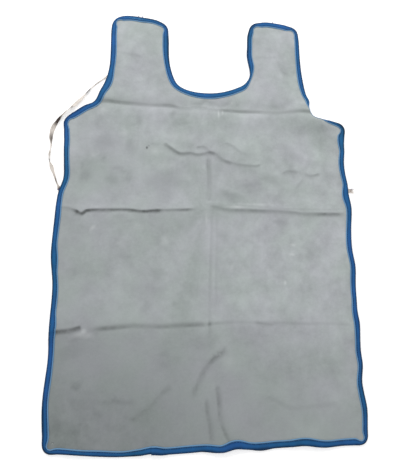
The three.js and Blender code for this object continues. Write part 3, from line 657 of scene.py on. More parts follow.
# %% Cut the sheet finer along the folds
def beside(line, places):
    """Signed distance of each place from a line, more than nothing on its left, and its share along."""
    away = np.full(len(places), 1e9)
    side = np.zeros(len(places))
    along = np.zeros(len(places))
    far = walked(line)
    for k in range(len(line) - 1):
        step = line[k + 1] - line[k]
        offset = places - line[k]
        share = np.clip(offset @ step / max(step @ step, 1e-9), 0, 1)
        distance = np.linalg.norm(offset - np.outer(share, step), axis=1)
        nearer = distance < away
        away = np.where(nearer, distance, away)
        side = np.where(nearer, np.sign(step[0] * offset[:, 1] - step[1] * offset[:, 0]), side)
        along = np.where(nearer, (far[k] + share * (far[k + 1] - far[k])) / far[-1], along)
    return away * side, along


def rim_tree(bm):
    """A search tree of the sheet's outer edge."""
    rim = [vert.co for vert in bm.verts if vert.is_boundary]
    tree = kdtree.KDTree(len(rim))
    for k, place in enumerate(rim):
        tree.insert(place, k)
    tree.balance()
    return tree


SOFT_FOLD = 15
FINE_ABOVE = 7
FINE_BELOW = 1.5
SMALL_SPOT = 5
RIM_BAND = 5 * MM
fold_lines = [smooth_line(row[6], steps=4)[0] for row in FOLDS]
outer = rim_tree(sheet)
sheet.faces.ensure_lookup_table()
centres = [face.calc_center_median() for face in sheet.faces]
inner = np.array([outer.find(c)[2] > RIM_BAND for c in centres])
close = np.zeros(len(centres), bool)
flat_centres = on_pattern(centres)
for (_, _, gentle, steep, _, _, _), line in zip(FOLDS, fold_lines):
    if steep < SOFT_FOLD:
        signed, _ = beside(line, flat_centres)
        close |= (signed < min(gentle, FINE_ABOVE)) & (signed > -steep - FINE_BELOW)
for x, y, wide, tall, _ in STAINS_AND_SHADE + RUBS_AND_HIGHLIGHTS:
    if min(wide, tall) < SMALL_SPOT:
        offset = (flat_centres - (x, y)) / (wide + SMALL_SPOT, tall + SMALL_SPOT)
        close |= np.hypot(offset[:, 0], offset[:, 1]) < 1
chosen = [sheet.faces[k] for k in np.flatnonzero(close & inner)]
sheet.edges.index_update()
edges = sorted({edge for face in chosen for edge in face.edges}, key=lambda edge: edge.index)
bmesh.ops.subdivide_edges(sheet, edges=edges, cuts=2, use_grid_fill=True)
print("cut", len(chosen), "faces finer; the sheet now has", len(sheet.faces), "faces")

# %% [markdown]
# ## Raising the folds
# Every point of the sheet now rises by the sum of the folds near it, and by a slow unevenness that soft
# leather always has. Nothing may sink into the floor, so the underside stops there. Three numbers are kept
# on each point for the finish to read later. The first is the darkening in a fold, partly dirt and partly
# painted shade, which trails up the back of a broad fold and out below a sharp one. The second is the soil,
# stains and painted shade, which grow towards the hem and the left. The third is the rubbing, with painted
# highlights. Soil never has a clean outline, so the places of its spots are shifted by noise first.

# %% Raise the folds and note their dirt and painted shade
LEATHER = 1.5 * MM
SWELL_PITCH = 24.0
SWELL = 0.14
BROAD_FOLD = 20
TRAILING, LEADING = 1.5, 0.8
TAPE_ROOM = 1.35 * MM
TAPE_BAND, TAPE_SLOPE = 30 * MM, 16 * MM
CURLED = 0.6
GENERAL_RISE = 0.15
SHARP_SPOT = 7
WIDTH, HEM_SOIL_AND_SHADE, SIDE_SOIL_AND_SHADE, SIDE_FADE = 600, 330, 680, 200
# how often it repeats in a metre, which slice of the noise, and how many millimetres it moves
WAVES = ((17, 1.7, 0.34), (43, 5.1, 0.18))
SMEARS = ((26, 2.2, 11), (80, 7.9, 5))
verts = list(sheet.verts)
flat = on_pattern([vert.co for vert in verts])
rise = np.zeros(len(verts))
fold_dirt_and_shade = np.zeros(len(verts))
for (kind, height, gentle, steep, dirt_and_shade, fade, _), line in zip(FOLDS, fold_lines):
    signed, along = beside(line, flat)
    t = np.clip(np.abs(signed) / np.where(signed > 0, gentle, steep), 0, 1)
    swell = 1 - SWELL + SWELL * np.sin(along * walked(line)[-1] / SWELL_PITCH + height * 7)
    ends = ease(np.minimum(along, 1 - along) / fade) * swell
    shape = (1 - t) ** 2 * (1 + 0.6 * t) if kind == "lip" else np.sin(np.pi * t) ** 2
    rise += height * ends * shape
    # the darkening of a fold is painted shade with some dirt: it lies below a sharp lip and trails up the back of a
    # broad one
    seat, spread = (-0.45 * steep, 2.6 + 0.7 * steep) if kind == "lip" else (0.0, 2.6 + 0.45 * steep)
    trailing = (signed > seat) == (gentle > BROAD_FOLD)
    reach = np.where(trailing, TRAILING * spread, LEADING * spread)
    fold_dirt_and_shade += dirt_and_shade * ends * hump(np.abs(signed - seat) / reach)
rim_away = np.array([outer.find(vert.co)[2] for vert in verts])
sheet.normal_update()
facing = np.clip([vert.normal.z for vert in verts], 0, 1)
lowest = LEATHER + TAPE_ROOM * ease((TAPE_BAND - rim_away) / TAPE_SLOPE)
lowest = np.where(facing > CURLED, lowest, TAPE_ROOM)
smear = np.zeros((len(verts), 2))
for k, vert in enumerate(verts):
    x, y = flat[k] * MM
    waves = sum(noise.noise((x * often, y * often, cut)) * size for often, cut, size in WAVES)
    vert.co.z = max(vert.co.z + (rise[k] + waves + GENERAL_RISE) * facing[k] * MM, lowest[k])
    for often, cut, size in SMEARS:
        smear[k] += size * noise.noise_vector((x * often, y * often, cut)).xy

big = [row for row in STAINS_AND_SHADE if row[2] > SHARP_SPOT]
small = [row for row in STAINS_AND_SHADE if row[2] <= SHARP_SPOT]
left_to_right = np.clip(flat[:, 0] / WIDTH + 0.5, 0, 1)
# darker towards the left and towards the hem: partly soil, partly painted shade of the lamp's falloff
soil_and_shade = 0.07 * (1 - left_to_right)
soil_and_shade += (0.45 - 0.27 * left_to_right) * ease((HEM_SOIL_AND_SHADE - flat[:, 1]) / HEM_SOIL_AND_SHADE)
soil_and_shade += 0.10 * np.clip(1 - 1.4 * left_to_right, 0, 1) * ease((SIDE_SOIL_AND_SHADE - flat[:, 1]) / SIDE_FADE)
soil_and_shade += spots_at(big, flat + smear) + spots_at(small, flat)
keep_on_points(sheet, "fold_dirt_and_shade", fold_dirt_and_shade)
keep_on_points(sheet, "soil_and_shade", soil_and_shade)
keep_on_points(sheet, "rub_and_highlight", spots_at(RUBS_AND_HIGHLIGHTS, flat))
print("folds rise up to", round(rise.max(), 2), "mm; dirt up to", round(fold_dirt_and_shade.max(), 2))

# %% [markdown]
# ## The cut edge
# The tape and its stitches all follow the cut edge, so it is read once: the rim of the sheet in order, as
# stations at even distances, and at each station a walk inwards over the leather that notes where the
# surface is. Anything laid on the edge can then say how far in and how far off the leather it lies, and
# it follows every fold.

# %% Walk round the cut edge
STATION_STEP = 1.7 * MM
INWARD_STEP = 1.5 * MM
INWARD_ROWS = 10
STUCK = 0.2


def closed(rows):
    """A ring of rows with its first row again at the end."""
    return np.vstack([rows, rows[:1]])


def at_even_steps(rows, far, stations):
    """Rows of a ring read again at other distances round it."""
    return np.stack([np.interp(stations, far, closed(rows)[:, k]) for k in range(3)], axis=1)


def eased(rows, times):
    """A ring of rows, each one evened out with its neighbours."""
    for _ in range(times):
        rows = (np.roll(rows, 1, 0) + 2 * rows + np.roll(rows, -1, 0)) / 4
    return rows


sheet.normal_update()
ring = ordered_rim(sheet)
rim_at = np.array([vert.co for vert in ring])
rim_far = walked(closed(rim_at))
STATIONS = round(rim_far[-1] / STATION_STEP)
even = np.arange(STATIONS) * rim_far[-1] / STATIONS
edge_at = eased(at_even_steps(rim_at, rim_far, even), 2)
edge_up = unit(eased(at_even_steps(np.array([vert.normal for vert in ring]), rim_far, even), 6))
heading = unit(eased(np.roll(edge_at, -1, 0) - np.roll(edge_at, 1, 0), 2))
edge_in = unit(eased(np.cross(edge_up, heading), 3))

surface = BVHTree.FromBMesh(sheet)
walk_at, walk_up = [edge_at], [edge_up]
going = edge_in.copy()
for _ in range(INWARD_ROWS):
    found = [surface.find_nearest(Vector(p)) for p in walk_at[-1] + going * INWARD_STEP]
    walk_at.append(np.array([f[0] for f in found]))
    walk_up.append(np.array([f[1] for f in found]))
    step = walk_at[-1] - walk_at[-2]
    moved = np.linalg.norm(step, axis=1, keepdims=True)
    going = np.where(moved > STUCK * INWARD_STEP, step / np.maximum(moved, 1e-9), going)
edge_far = walked(closed(edge_at))
print(STATIONS, "stations round a cut edge of", round(edge_far[-1], 3), "m")

# %% [markdown]
# ## Naming the lengths of tape
# The tape was put on in nine lengths that meet at the corners, and once along the hem, where the end of
# one length lies over the other. The corners are found by their places on the pattern. The tape was fed
# by hand, so its lap over the leather wanders, and its fold stands more or less proud of the cut edge:
# a short list of places says where. Its selvedge lies past that lap. At a corner the tape bunches up
# outside and is drawn in on the front. A steady lap would be simpler, and look machined.

# %% Name the lengths of tape and their lap
LENGTHS = [
    # name, corner where it starts, lap on the front up to its selvedge, how far it stands proud there
    ("binding_hem_left", (-306, -1), 7.7, 2.6),
    ("binding_hem_right", (-105, -6), 10.4, 0.0),
    ("binding_side_right", (304, -1), 9.0, 1.8),
    ("binding_armhole_right", (303, 652), 7.5, 5.0),
    ("binding_tab_right", (215, 894), 10.5, 3.5),
    ("binding_neck", (105, 903), 9.4, 4.0),
    ("binding_tab_left", (-84, 887), 10.0, 4.0),
    ("binding_armhole_left", (-209, 907), 10.1, 1.0),
    ("binding_side_left", (-304, 652), 8.9, 4.0),
]
UNEVEN = [
    # across, up, reach, and how much more the tape laps and stands proud there
    (-308, 357, 34, 2.5, 0.0), (-304, 228, 28, 2.5, -0.6), (-298, 500, 26, -1.5, 1.5),
    (-307, 48, 70, -1.0, 2.0), (-307, 420, 40, 0.0, 0.6), (-118, -7, 44, 1.8, 0.0), (2, -4, 22, 0.0, 1.8),
    (48, -2, 36, 2.8, 0.4), (97, -2, 26, 0.0, 2.4),
    (178, 0, 40, 2.4, -0.6), (301, 140, 36, -3.5, 2.4), (302, 492, 32, 4.0, -0.6),
    (298, 622, 34, 4.5, -0.6), (283, 658, 26, -2.5, 1.0), (216, 770, 60, 0.5, 1.0), (99, 835, 70, -2.2, 1.8),
    (97, 764, 30, -5.5, -0.4), (17, 721, 70, 2.6, -0.5), (-86, 845, 60, 0.0, 1.6),
    (-113, 896, 34, -4.5, 2.6), (-218, 742, 38, 3.0, 0.0), (-270, 675, 34, -2.0, 2.4),
]
USUALLY_PROUD = 0.4
LEAST_PROUD = -0.8
SELVEDGE = 1.1
LAP_SWAY, LAP_PITCH = 0.4, 13
CORNER_LAP = 4.5
CORNER_REACH = 20.0
flat_edge = on_pattern([Vector(p) for p in edge_at])


def station_near(x, y):
    """The station of the edge nearest to a point of the pattern."""
    return int(np.argmin(np.hypot(*(flat_edge - (x, y)).T)))


starts = [station_near(*corner) for _, corner, _, _ in LENGTHS]
shift = starts[0]
turned = [np.roll(rows, -shift, 0) for rows in (edge_at, edge_up, edge_in, flat_edge)]
edge_at, edge_up, edge_in, flat_edge = turned
walk_at = [np.roll(a, -shift, 0) for a in walk_at]
walk_up = [np.roll(a, -shift, 0) for a in walk_up]
edge_far = walked(closed(edge_at))
starts = [(s - shift) % STATIONS for s in starts] + [STATIONS]

lap, proud = np.zeros(STATIONS), np.full(STATIONS, USUALLY_PROUD)
for (_, _, usual, _), a, b in zip(LENGTHS, starts, starts[1:]):
    lap[a:b] = usual
far = edge_far[:-1] / MM
lap = eased(lap, 30) + SELVEDGE + LAP_SWAY * np.sin(far / LAP_PITCH)
lap += spots_at([(x, y, reach, reach, more) for x, y, reach, more, _ in UNEVEN], flat_edge)
proud += spots_at([(x, y, reach, reach, more) for x, y, reach, _, more in UNEVEN], flat_edge)
for (_, _, _, corner_proud), start in zip(LENGTHS, starts):
    away = np.abs(far - far[start])
    near = hump(np.minimum(away, edge_far[-1] / MM - away) / CORNER_REACH) * (corner_proud > 0)
    lap += (CORNER_LAP - lap) * near
    proud += (corner_proud - proud) * near
lap, proud = eased(lap, 4), np.maximum(eased(proud, 4), LEAST_PROUD)
print("tape laps from", round(lap.min(), 1), "to", round(lap.max(), 1), "mm over the leather")

# %% [markdown]
# ## The folded tape
# In section the tape is a thin C: it starts at a soft lip on the front, is pressed down along the stitch
# line, puffs up a little, turns round the cut edge and lies flat on the back. A solidify modifier on a
# folded strip would do, but the section is short enough to write down, and rolling it keeps the weave
# true. Small gathers at the corners stand where a straight tape has to go round a bend.

# %% Fold the tape over the edge
TAPE = 1.0
AIR = 0.12
BACK_LAP = 11.0
STITCH_IN = 3.4
EDGE_TURN = 1.35
THICK = LEATHER / MM
USUAL_LAP, USUAL_TURN = 9.5, 0.5
GATHER, GATHER_PITCH, GATHER_REACH = 0.30, 1.35, 26
RIPPLE, RIPPLE_PITCH = 0.16, 9.0
JOINT_PUSH, JOINT_LIFT, JOINT_REACH = 1.8, 1.0, 34 * MM
JOINT_OVERLAP = 2
EDGE_ZONE = 0.3
FULL_GATHER = 6
OVER_FLOOR = 0.05 * MM


def seam_at(front):
    """How far in the stitch line lies on a tape that laps this far."""
    return max(front - STITCH_IN, 0.4 * front)


def tape_section(front, beyond):
    """The section of the tape: how far inwards and how far off the front of the leather, in millimetres."""
    out = EDGE_TURN + beyond
    top = AIR + TAPE
    under = -THICK - AIR
    seam = seam_at(front)
    return [
        (front, AIR), (front + 0.22, AIR + 0.45 * TAPE), (front - 0.15, top - 0.05),
        (0.5 * (front + seam), top + 0.16), (seam, top - 0.18), (0.78 * seam, top + 0.30),
        (0.5 * seam, top + 0.48), (0.22 * seam, top + 0.36), (0.55 - 0.4 * out, top + 0.05),
        (0.5 - out, 0.5 * top), (-out, -0.25 * THICK), (-out, -0.75 * THICK),
        (0.5 - out, under - 0.5 * TAPE), (0.55 - 0.4 * out, under - 0.92 * TAPE),
        (0.5 * BACK_LAP, under - TAPE), (BACK_LAP - 0.3, under - 0.9 * TAPE),
        (BACK_LAP, under - 0.4 * TAPE), (BACK_LAP - 0.3, under),
        (0.4, under), (min(0.9 - out, -0.05), -0.5 * THICK), (0.4, AIR),
    ]


def on_edge(k, inward, off):
    """A place at station k: millimetres inwards over the leather, and millimetres off its front."""
    i = k % STATIONS
    if inward < 0:
        return Vector(edge_at[i] + edge_in[i] * inward * MM + edge_up[i] * off * MM)
    share = min(inward * MM / INWARD_STEP, INWARD_ROWS - 0.001)
    row = int(share)
    t = share - row
    up = Vector(walk_up[row][i] * (1 - t) + walk_up[row + 1][i] * t).normalized()
    return Vector(walk_at[row][i] * (1 - t) + walk_at[row + 1][i] * t) + up * off * MM


def gather(k, ends):
    """Small gathers of the tape beside its corners, and a slow unevenness along it."""
    far = edge_far[min(k, STATIONS)] / MM
    near = min(abs(far - edge_far[end] / MM) for end in ends)
    gathers = GATHER * math.sin(far / GATHER_PITCH) * float(hump(near / GATHER_REACH))
    return gathers + RIPPLE * math.sin(far / RIPPLE_PITCH)


def tape(name, first, last, push=0.0, lift=0.0):
    """One length of tape as a piece; push swells its start outwards, and lift raises it there."""
    sections = []
    for k in range(first, last + 1):
        start = max(0.0, 1 - (edge_far[k] - edge_far[first]) / JOINT_REACH)
        uneven = gather(k, (first, last))
        row = []
        for inward, off in tape_section(lap[k % STATIONS], proud[k % STATIONS]):
            if off > 0 and inward > EDGE_ZONE:
                off += uneven * min(1.0, inward / FULL_GATHER)
            place = on_edge(k, inward - push * start * (inward < EDGE_ZONE), off + lift * start)
            place.z = max(place.z, OVER_FLOOR)
            row.append(place)
        sections.append(row)
    bm = bmesh.new()
    around = once_round(tape_section(USUAL_LAP, USUAL_TURN))
    rolled(bm, lambda i, j: sections[i][j], edge_far[first : last + 1], around)
    bmesh.ops.recalc_face_normals(bm, faces=bm.faces)
    return as_piece(name, bm)


tapes = []
for (name, *_), a, b in zip(LENGTHS, starts, starts[1:]):
    joint = name == "binding_hem_right"
    made = tape(name.replace("binding", "tape"), a - JOINT_OVERLAP * joint, b, JOINT_PUSH * joint,
                JOINT_LIFT * joint)
    tapes.append(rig.replaces(made, name))
print(len(tapes), "lengths of tape,", sum(len(t.data.polygons) for t in tapes), "faces")

# %% [markdown]
# ## The leather gets its thickness
# The tape has read the front of the sheet, so the sheet can now become a piece. A solidify modifier gives
# it the 1.5 mm of split leather, downwards from its front, and keeps the numbers for dirt, soil, painted
# shade and painted highlights.

# %% Make the leather a piece
for face in sheet.faces:
    face.smooth = True
leather_area = sum(face.calc_area() for face in sheet.faces)
leather = as_piece("leather_apron", sheet)
wall = leather.modifiers.new("thickness", "SOLIDIFY")
wall.thickness = LEATHER
wall.offset = -1
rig.replaces(leather, "leather_panel")
print("leather area", round(leather_area, 3), "square metres")

# %% [markdown]
# ## Stitches
# One row of lockstitch holds the tape, through front and back, a little inside its lip. A dashed texture
# would vanish in a close view, so each stitch is a small stretched ball laid on the seam: few faces, and
# hundreds of them.

# %% Sew the tape down
STITCH_PITCH = 4.6
STITCH_LONG = 1.75
STITCH_WIDE = 0.36
STITCH_FLAT = 0.8
SUNK_IN_FRONT, SUNK_IN_BACK = 0.10, 0.15
LOOK_ALONG = 0.6


def station_at(far):
    """The station, and the share of the way to the next one, at a distance round the edge."""
    return float(np.interp(far, edge_far, np.arange(STATIONS + 1)))


def laid_between(k, inward, off):
    """A place between two stations of the edge."""
    i = math.floor(k)
    return on_edge(i, inward, off).lerp(on_edge(i + 1, inward, off), k - i)


def stitch(bm, place, along, up, long=STITCH_LONG, wide=STITCH_WIDE):
    """One stitch: a ball stretched along its seam and pressed flat on the cloth."""
    along = along.normalized()
    across = up.cross(along).normalized()
    up = along.cross(across)
    turn = Matrix((across * wide, up * wide * STITCH_FLAT, along * long)).transposed() * MM
    at = Matrix.Translation(place) @ turn.to_4x4()
    bmesh.ops.create_uvsphere(bm, u_segments=6, v_segments=5, radius=1.0, matrix=at)


def sewn(name, first, last):
    """The front and back stitches of one length of tape."""
    bm = bmesh.new()
    reach = edge_far[last] - edge_far[first]
    for n in range(1, int(reach / (STITCH_PITCH * MM))):
        k = station_at(edge_far[first] + n * STITCH_PITCH * MM)
        seam = seam_at(lap[int(k) % STATIONS])
        for off, way in ((AIR + TAPE - SUNK_IN_FRONT, 1), (-THICK - AIR - TAPE + SUNK_IN_BACK, -1)):
            here = laid_between(k, seam, off)
            ahead, behind = (laid_between(k + step, seam, off) for step in (LOOK_ALONG, -LOOK_ALONG))
            stitch(bm, here, ahead - behind, Vector(edge_up[int(k) % STATIONS]) * way)
    for face in bm.faces:
        face.smooth = True
    return as_piece(name, bm)


stitches = []
for (name, *_), a, b in zip(LENGTHS, starts, starts[1:]):
    stitches.append(sewn(name.replace("binding", "stitches"), a, b))
print(len(stitches), "rows of stitches,", sum(len(s.data.polygons) for s in stitches), "faces")

# %% [markdown]
# ## Where the straps are sewn on
# Each strap end is caught by a tight bar of thread: light blue on the left tab, where it shows on the
# front of the tape, and dark violet elsewhere. The thread was not trimmed, so a few ends stand out, and
# the cut end of the right strap has frayed.

# %% Sew the strap ends and leave some loose threads
BAR_LEAN = 0.35
BAR_THREAD = 0.34
LOOSE_THREAD = 0.55
COTTON_THREAD = 0.5
THREAD_SIDES = 6
WORN_TIP = 0.4


def bar(bm, k, wide, inward, count, off, way):
    """A bar of zigzag stitches across the tape, centred on station k."""
    for n in range(count):
        at = station_at(edge_far[k] + (n / (count - 1) - 0.5) * wide * MM)
        lean = BAR_LEAN if n % 2 else -BAR_LEAN
        here = laid_between(at + lean, inward[0], off)
        there = laid_between(at - lean, inward[1], off)
        stitch(bm, (here + there) / 2, there - here, Vector(edge_up[int(at)]) * way,
               (there - here).length / MM / 2, BAR_THREAD)


def strand(bm, points, thick):
    """One loose thread through a few points of the pattern, each with its height."""
    line, _ = smooth_line(points, steps=5)
    heading = np.gradient(line, axis=0)
    ring_of = [(math.cos(a), math.sin(a)) for a in np.arange(THREAD_SIDES) * 2 * math.pi / THREAD_SIDES]

    def place(i, j):
        along = Vector(heading[i]).normalized()
        level = Vector((-along.y, along.x, 0.001)).normalized()
        up = along.cross(level)
        size = thick / 2 * (1 if i < len(line) - 1 else WORN_TIP)
        return spot(*line[i]) + (level * ring_of[j][0] + up * ring_of[j][1]) * size * MM

    rolled(bm, place, walked(line) * MM, np.arange(THREAD_SIDES + 1) * thick / 2 * MM)


light_bar = bmesh.new()
bar(light_bar, station_near(-155, 908), wide=30, inward=(3.2, 6.6), count=17, off=AIR + TAPE + 0.45, way=1)
dark_bars = bmesh.new()
for x, y in ((-145, 909), (150, 907), (-303, 499), (306, 505)):
    back = -THICK - AIR - TAPE + 0.1
    bar(dark_bars, station_near(x, y), wide=11, inward=(2.5, 9.5), count=9, off=back, way=-1)
TUFTS = [
    # where a thread comes out, the way it leans, and how many there are
    ((-149, 905), (-0.5, 6.5), 4), ((-141, 904), (1.0, 7.0), 4), ((155, 903), (1.5, 6.0), 3),
    ((-300, 500), (-8.0, 1.5), 4), ((309, 508), (6.0, 1.0), 3),
]
for (x, y), (lean_x, lean_y), count in TUFTS:
    for n in range(count):
        side = (n - (count - 1) / 2) * 0.8
        middle = (x + 0.6 * lean_x + side * 0.8, y + 0.6 * lean_y + side * 0.8, 3.3)
        tip = (x + lean_x + side * 1.7, y + lean_y - side * 1.1, 1.6 + 0.3 * n)
        strand(dark_bars, [(x + side * 0.4, y, 2.9), middle, tip], LOOSE_THREAD)
frayed = bmesh.new()
for n in range(11):
    fan = n - 5
    tip = (317 + 2.2 * math.sin(n * 2.3), 504 + 1.1 * fan, 0.6 + 0.5 * (n % 3))
    root = (308, 505 + 0.75 * fan, 0.6)
    strand(frayed, [root, (312.5, 504.6 + 0.85 * fan, 1.1), tip], COTTON_THREAD)
sewing = [as_piece("strap_bar_light", light_bar), as_piece("strap_bars_dark", dark_bars)]
fray = as_piece("strap_fray_right", frayed)
print("sewing:", [len(s.data.polygons) for s in sewing], "fray:", len(fray.data.polygons))

# %% [markdown]
# ## Wiring finishes as sums
# A finish is a small program of nodes. Written node by node it is hard to read, so one class wraps an
# output and lets plain sums add the Math nodes, and one method makes any other node from its kind, its
# settings and the values of its sockets.

# %% Write finishes as sums
class Wire:
    """One output in a finish. Sums on it add Math nodes, and node() adds any other node."""

    def __init__(self, tree, socket=None):
        self.tree = tree
        self.socket = socket

    def node(self, kind, settings=None, values=None, out=0):
        made = self.tree.nodes.new("ShaderNode" + kind)
        for name, value in (settings or {}).items():
            setattr(made, name, value)
        for name, value in (values or {}).items():
            if isinstance(value, Wire):
                self.tree.links.new(value.socket, made.inputs[name])
            else:
                made.inputs[name].default_value = value
        return Wire(self.tree, made.outputs[out] if made.outputs else None)

    def sums(self, operation, first, second):
        return self.node("Math", {"operation": operation}, {0: first, 1: second})

    def __add__(self, other):
        return self.sums("ADD", self, other)

    def __sub__(self, other):
        return self.sums("SUBTRACT", self, other)

    def __rsub__(self, other):
        return self.sums("SUBTRACT", other, self)

    def __mul__(self, other):
        return self.sums("MULTIPLY", self, other)

    __radd__ = __add__
    __rmul__ = __mul__

    def wave(self, pitch):
        """A wave between nothing and one that repeats every pitch."""
        return self.node("Math", {"operation": "SINE"}, {0: self * (2 * math.pi / pitch)}) * 0.5 + 0.5

    def cloud(self, scale, detail=2.0, rough=0.5):
        """Noise on these coordinates, about a half."""
        values = {"Vector": self, "Scale": scale, "Detail": detail, "Roughness": rough}
        return self.node("TexNoise", None, values)

    def ramp(self, low, high):
        """From nothing at low to one at high, and no further."""
        return self.node("MapRange", {"clamp": True, "interpolation_type": "SMOOTHSTEP"},
                         {"Value": self, "From Min": low, "From Max": high})

    def mixed(self, first, second):
        """Two colours mixed by this value."""
        return self.node("Mix", {"data_type": "RGBA"}, {0: self, 6: first, 7: second}, 2)

    def scaled(self, amount):
        """This colour, times a value."""
        return self.node("VectorMath", {"operation": "SCALE"}, {0: self, "Scale": amount})

    def kept(self, name):
        """The number that was kept on the points under a name."""
        return self.node("Attribute", {"attribute_name": name}, None, "Fac")

    def bumps(self, strength, distance):
        """This value as small relief."""
        return self.node("Bump", None, {"Strength": strength, "Distance": distance, "Height": self})

    def surface(self, values):
        """Ends a finish with one shader."""
        shader = self.node("BsdfPrincipled", None, values)
        self.node("OutputMaterial", None, {"Surface": shader})

    def own_place(self):
        """The piece's own coordinates."""
        return self.node("TexCoord", out="Object")

    def woven(self):
        """The metres along and across a band, from its map."""
        weave = self.node("UVMap", {"uv_map": "weave"})
        return [self.node("SeparateXYZ", None, {0: weave}, out) for out in (0, 1)]


def tone(red, green, blue):
    """A colour as read from a picture, 0 to 255, as the linear colour that nodes work with."""
    parts = [c / 255 for c in (red, green, blue)]
    return tuple(c / 12.92 if c < 0.04045 else ((c + 0.055) / 1.055) ** 2.4 for c in parts) + (1.0,)


def new_finish(name):
    """An empty finish, and the first wire in it."""
    material = bpy.data.materials.new(name)
    material.use_nodes = True
    material.node_tree.nodes.clear()
    return material, Wire(material.node_tree)


def wear(finish, pieces, slot):
    """Gives a finish to pieces, with the record's slot for it."""
    for piece in pieces:
        piece.data.materials.clear()
        piece.data.materials.append(finish)
        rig.slot(piece, slot)


print("mid grey is", [round(c, 3) for c in tone(128, 128, 128)])

# %% [markdown]
# ## Split leather
# Split leather has no grain side: both faces are napped like suede, dull and a little cloudy. Its grey
# drifts between greenish and violet, and it is soiled where hands and work touched it. It is darker towards
# the hem and the left, partly soil and partly painted shade of the lamp's falloff. The folds hold painted
# shade with some dirt, and the pale rubs include painted highlights on the lit side of the folds. All of
# that is noise on the piece's own coordinates, at the scale of each cause, and the numbers that were kept
# on the points.

# %% Mix the split-leather finish
suede, start = new_finish("split_leather_nap")
here = start.own_place()
drift = here.cloud(5.0, 2.0) - 0.5
patch = here.cloud(15.0, 3.0, 0.55) - 0.5
fleck = here.cloud(48.0, 4.0, 0.62) - 0.5
speck = here.cloud(170.0, 2.0, 0.6) - 0.5
nap = here.cloud(620.0, 3.0, 0.7)
brushed = start.node("Mapping", None, {"Vector": here, "Rotation": (0, 0, 0.5), "Scale": (260, 900, 260)})
fibre = brushed.cloud(1.0, 2.0, 0.6)
soil_and_shade, fold_dirt_and_shade, rub_and_highlight = (start.kept(name) for name in ("soil_and_shade", "fold_dirt_and_shade", "rub_and_highlight"))

grey = (here.cloud(11.0, 3.0) * 2.2 - 0.6).ramp(0.0, 1.0).mixed(tone(167, 175, 173), tone(171, 174, 178))
bright = 1 + drift * 0.30 + patch * 0.56 + fleck * 0.42 + speck * 0.12
bright = bright + (nap - 0.5) * 0.14 + (fibre - 0.5) * 0.12
grey = grey.scaled(bright)
# soil and stains, with painted shade of the lamp's falloff and beside the folds
soiled_and_shaded = soil_and_shade * (1 + patch * 0.9 + fleck * 1.1)
grey = soiled_and_shaded.mixed(grey, tone(84, 89, 89))
# painted shade in the folds, with some dirt
grey = (fold_dirt_and_shade * (1 + patch * 0.9 + fleck * 1.6)).ramp(0.0, 1.1).mixed(grey, tone(70, 73, 72))
# rubbed wear and painted highlights on the lit side of the folds
grey = (rub_and_highlight * (0.85 + fleck * 1.2)).mixed(grey, tone(208, 212, 212))
relief = (nap * 0.6 + fibre * 0.5 + fleck * 0.8).bumps(0.55, 0.0005)
dull = 0.93 + (nap - 0.5) * 0.1
start.surface({
    "Base Color": grey, "Roughness": dull, "Normal": relief, "Specular IOR Level": 0.2,
    "Sheen Weight": 0.12, "Sheen Roughness": 0.5,
})
wear(suede, [leather], "split_leather")
print("split leather:", len(suede.node_tree.nodes), "nodes")

# %% [markdown]
# ## Woven tape
# The tape is a blue plain weave with a slight sheen. Its own map runs along and across it in metres, so
# two waves at the pitch of the threads make the weave. It is paler at its selvedge, has painted shade in the
# pressed stitch line, a painted highlight along the puffed middle and painted shade round the outer fold,
# is uneven along its length as cheap tape is, and is darker towards the hem.

# %% Weave the tape's finish
THREAD_PITCH = 0.00085
blue, start = new_finish("woven_blue_tape")
along, across = start.woven()
here = start.own_place()
warp = along.wave(THREAD_PITCH)
weft = across.wave(THREAD_PITCH)
threads = warp * weft + (1 - warp) * (1 - weft)
uneven = here.cloud(45.0, 3.0, 0.6) - 0.5
faded = here.cloud(9.0, 2.0) - 0.5
# darker towards the hem
down = 1 - start.node("SeparateXYZ", None, {0: here}, 1).ramp(-0.42, 0.05)
selvedge = 1 - across.ramp(0.0023, 0.0034)
# painted shade in the pressed stitch line
seam = across.ramp(0.0027, 0.0037) * (1 - across.ramp(0.0040, 0.0052))
# painted highlight along the puffed middle
middle = across.ramp(0.0046, 0.0062) * (1 - across.ramp(0.0074, 0.0104))
# painted shade round the outer fold
fold = across.ramp(0.0084, 0.0120) * (1 - across.ramp(0.0170, 0.0200))
bright = 0.96 + middle * 0.42 - seam * 0.26 - fold * 0.50 - down * 0.16
bright = bright + uneven * 0.8 + faded * 0.9 + (threads - 0.5) * 0.26
colour = (0.5 + faded * 1.8).ramp(0.0, 1.0).mixed(tone(22, 84, 126), tone(28, 74, 130)).scaled(bright)
colour = (selvedge * 0.8).mixed(colour, tone(118, 160, 196))
relief = (threads + uneven * 1.5).bumps(0.5, 0.00035)
start.surface({
    "Base Color": colour, "Roughness": 0.72 - middle * 0.1 + uneven * 0.2, "Normal": relief,
    "Specular IOR Level": 0.16, "Sheen Weight": 0.03, "Sheen Roughness": 0.4,
})
wear(blue, tapes, "binding_tape")
print("woven tape:", len(blue.node_tree.nodes), "nodes")

# %% [markdown]
# ## Cotton and threads
# The straps are undyed cotton in a slanting twill, cream with grey-brown soil where they were handled, and
# darker where they twist, which is partly soil and partly painted shade.
# Sewing thread is smooth and a little shiny, so a thread only needs its colour and a fine twist along it.

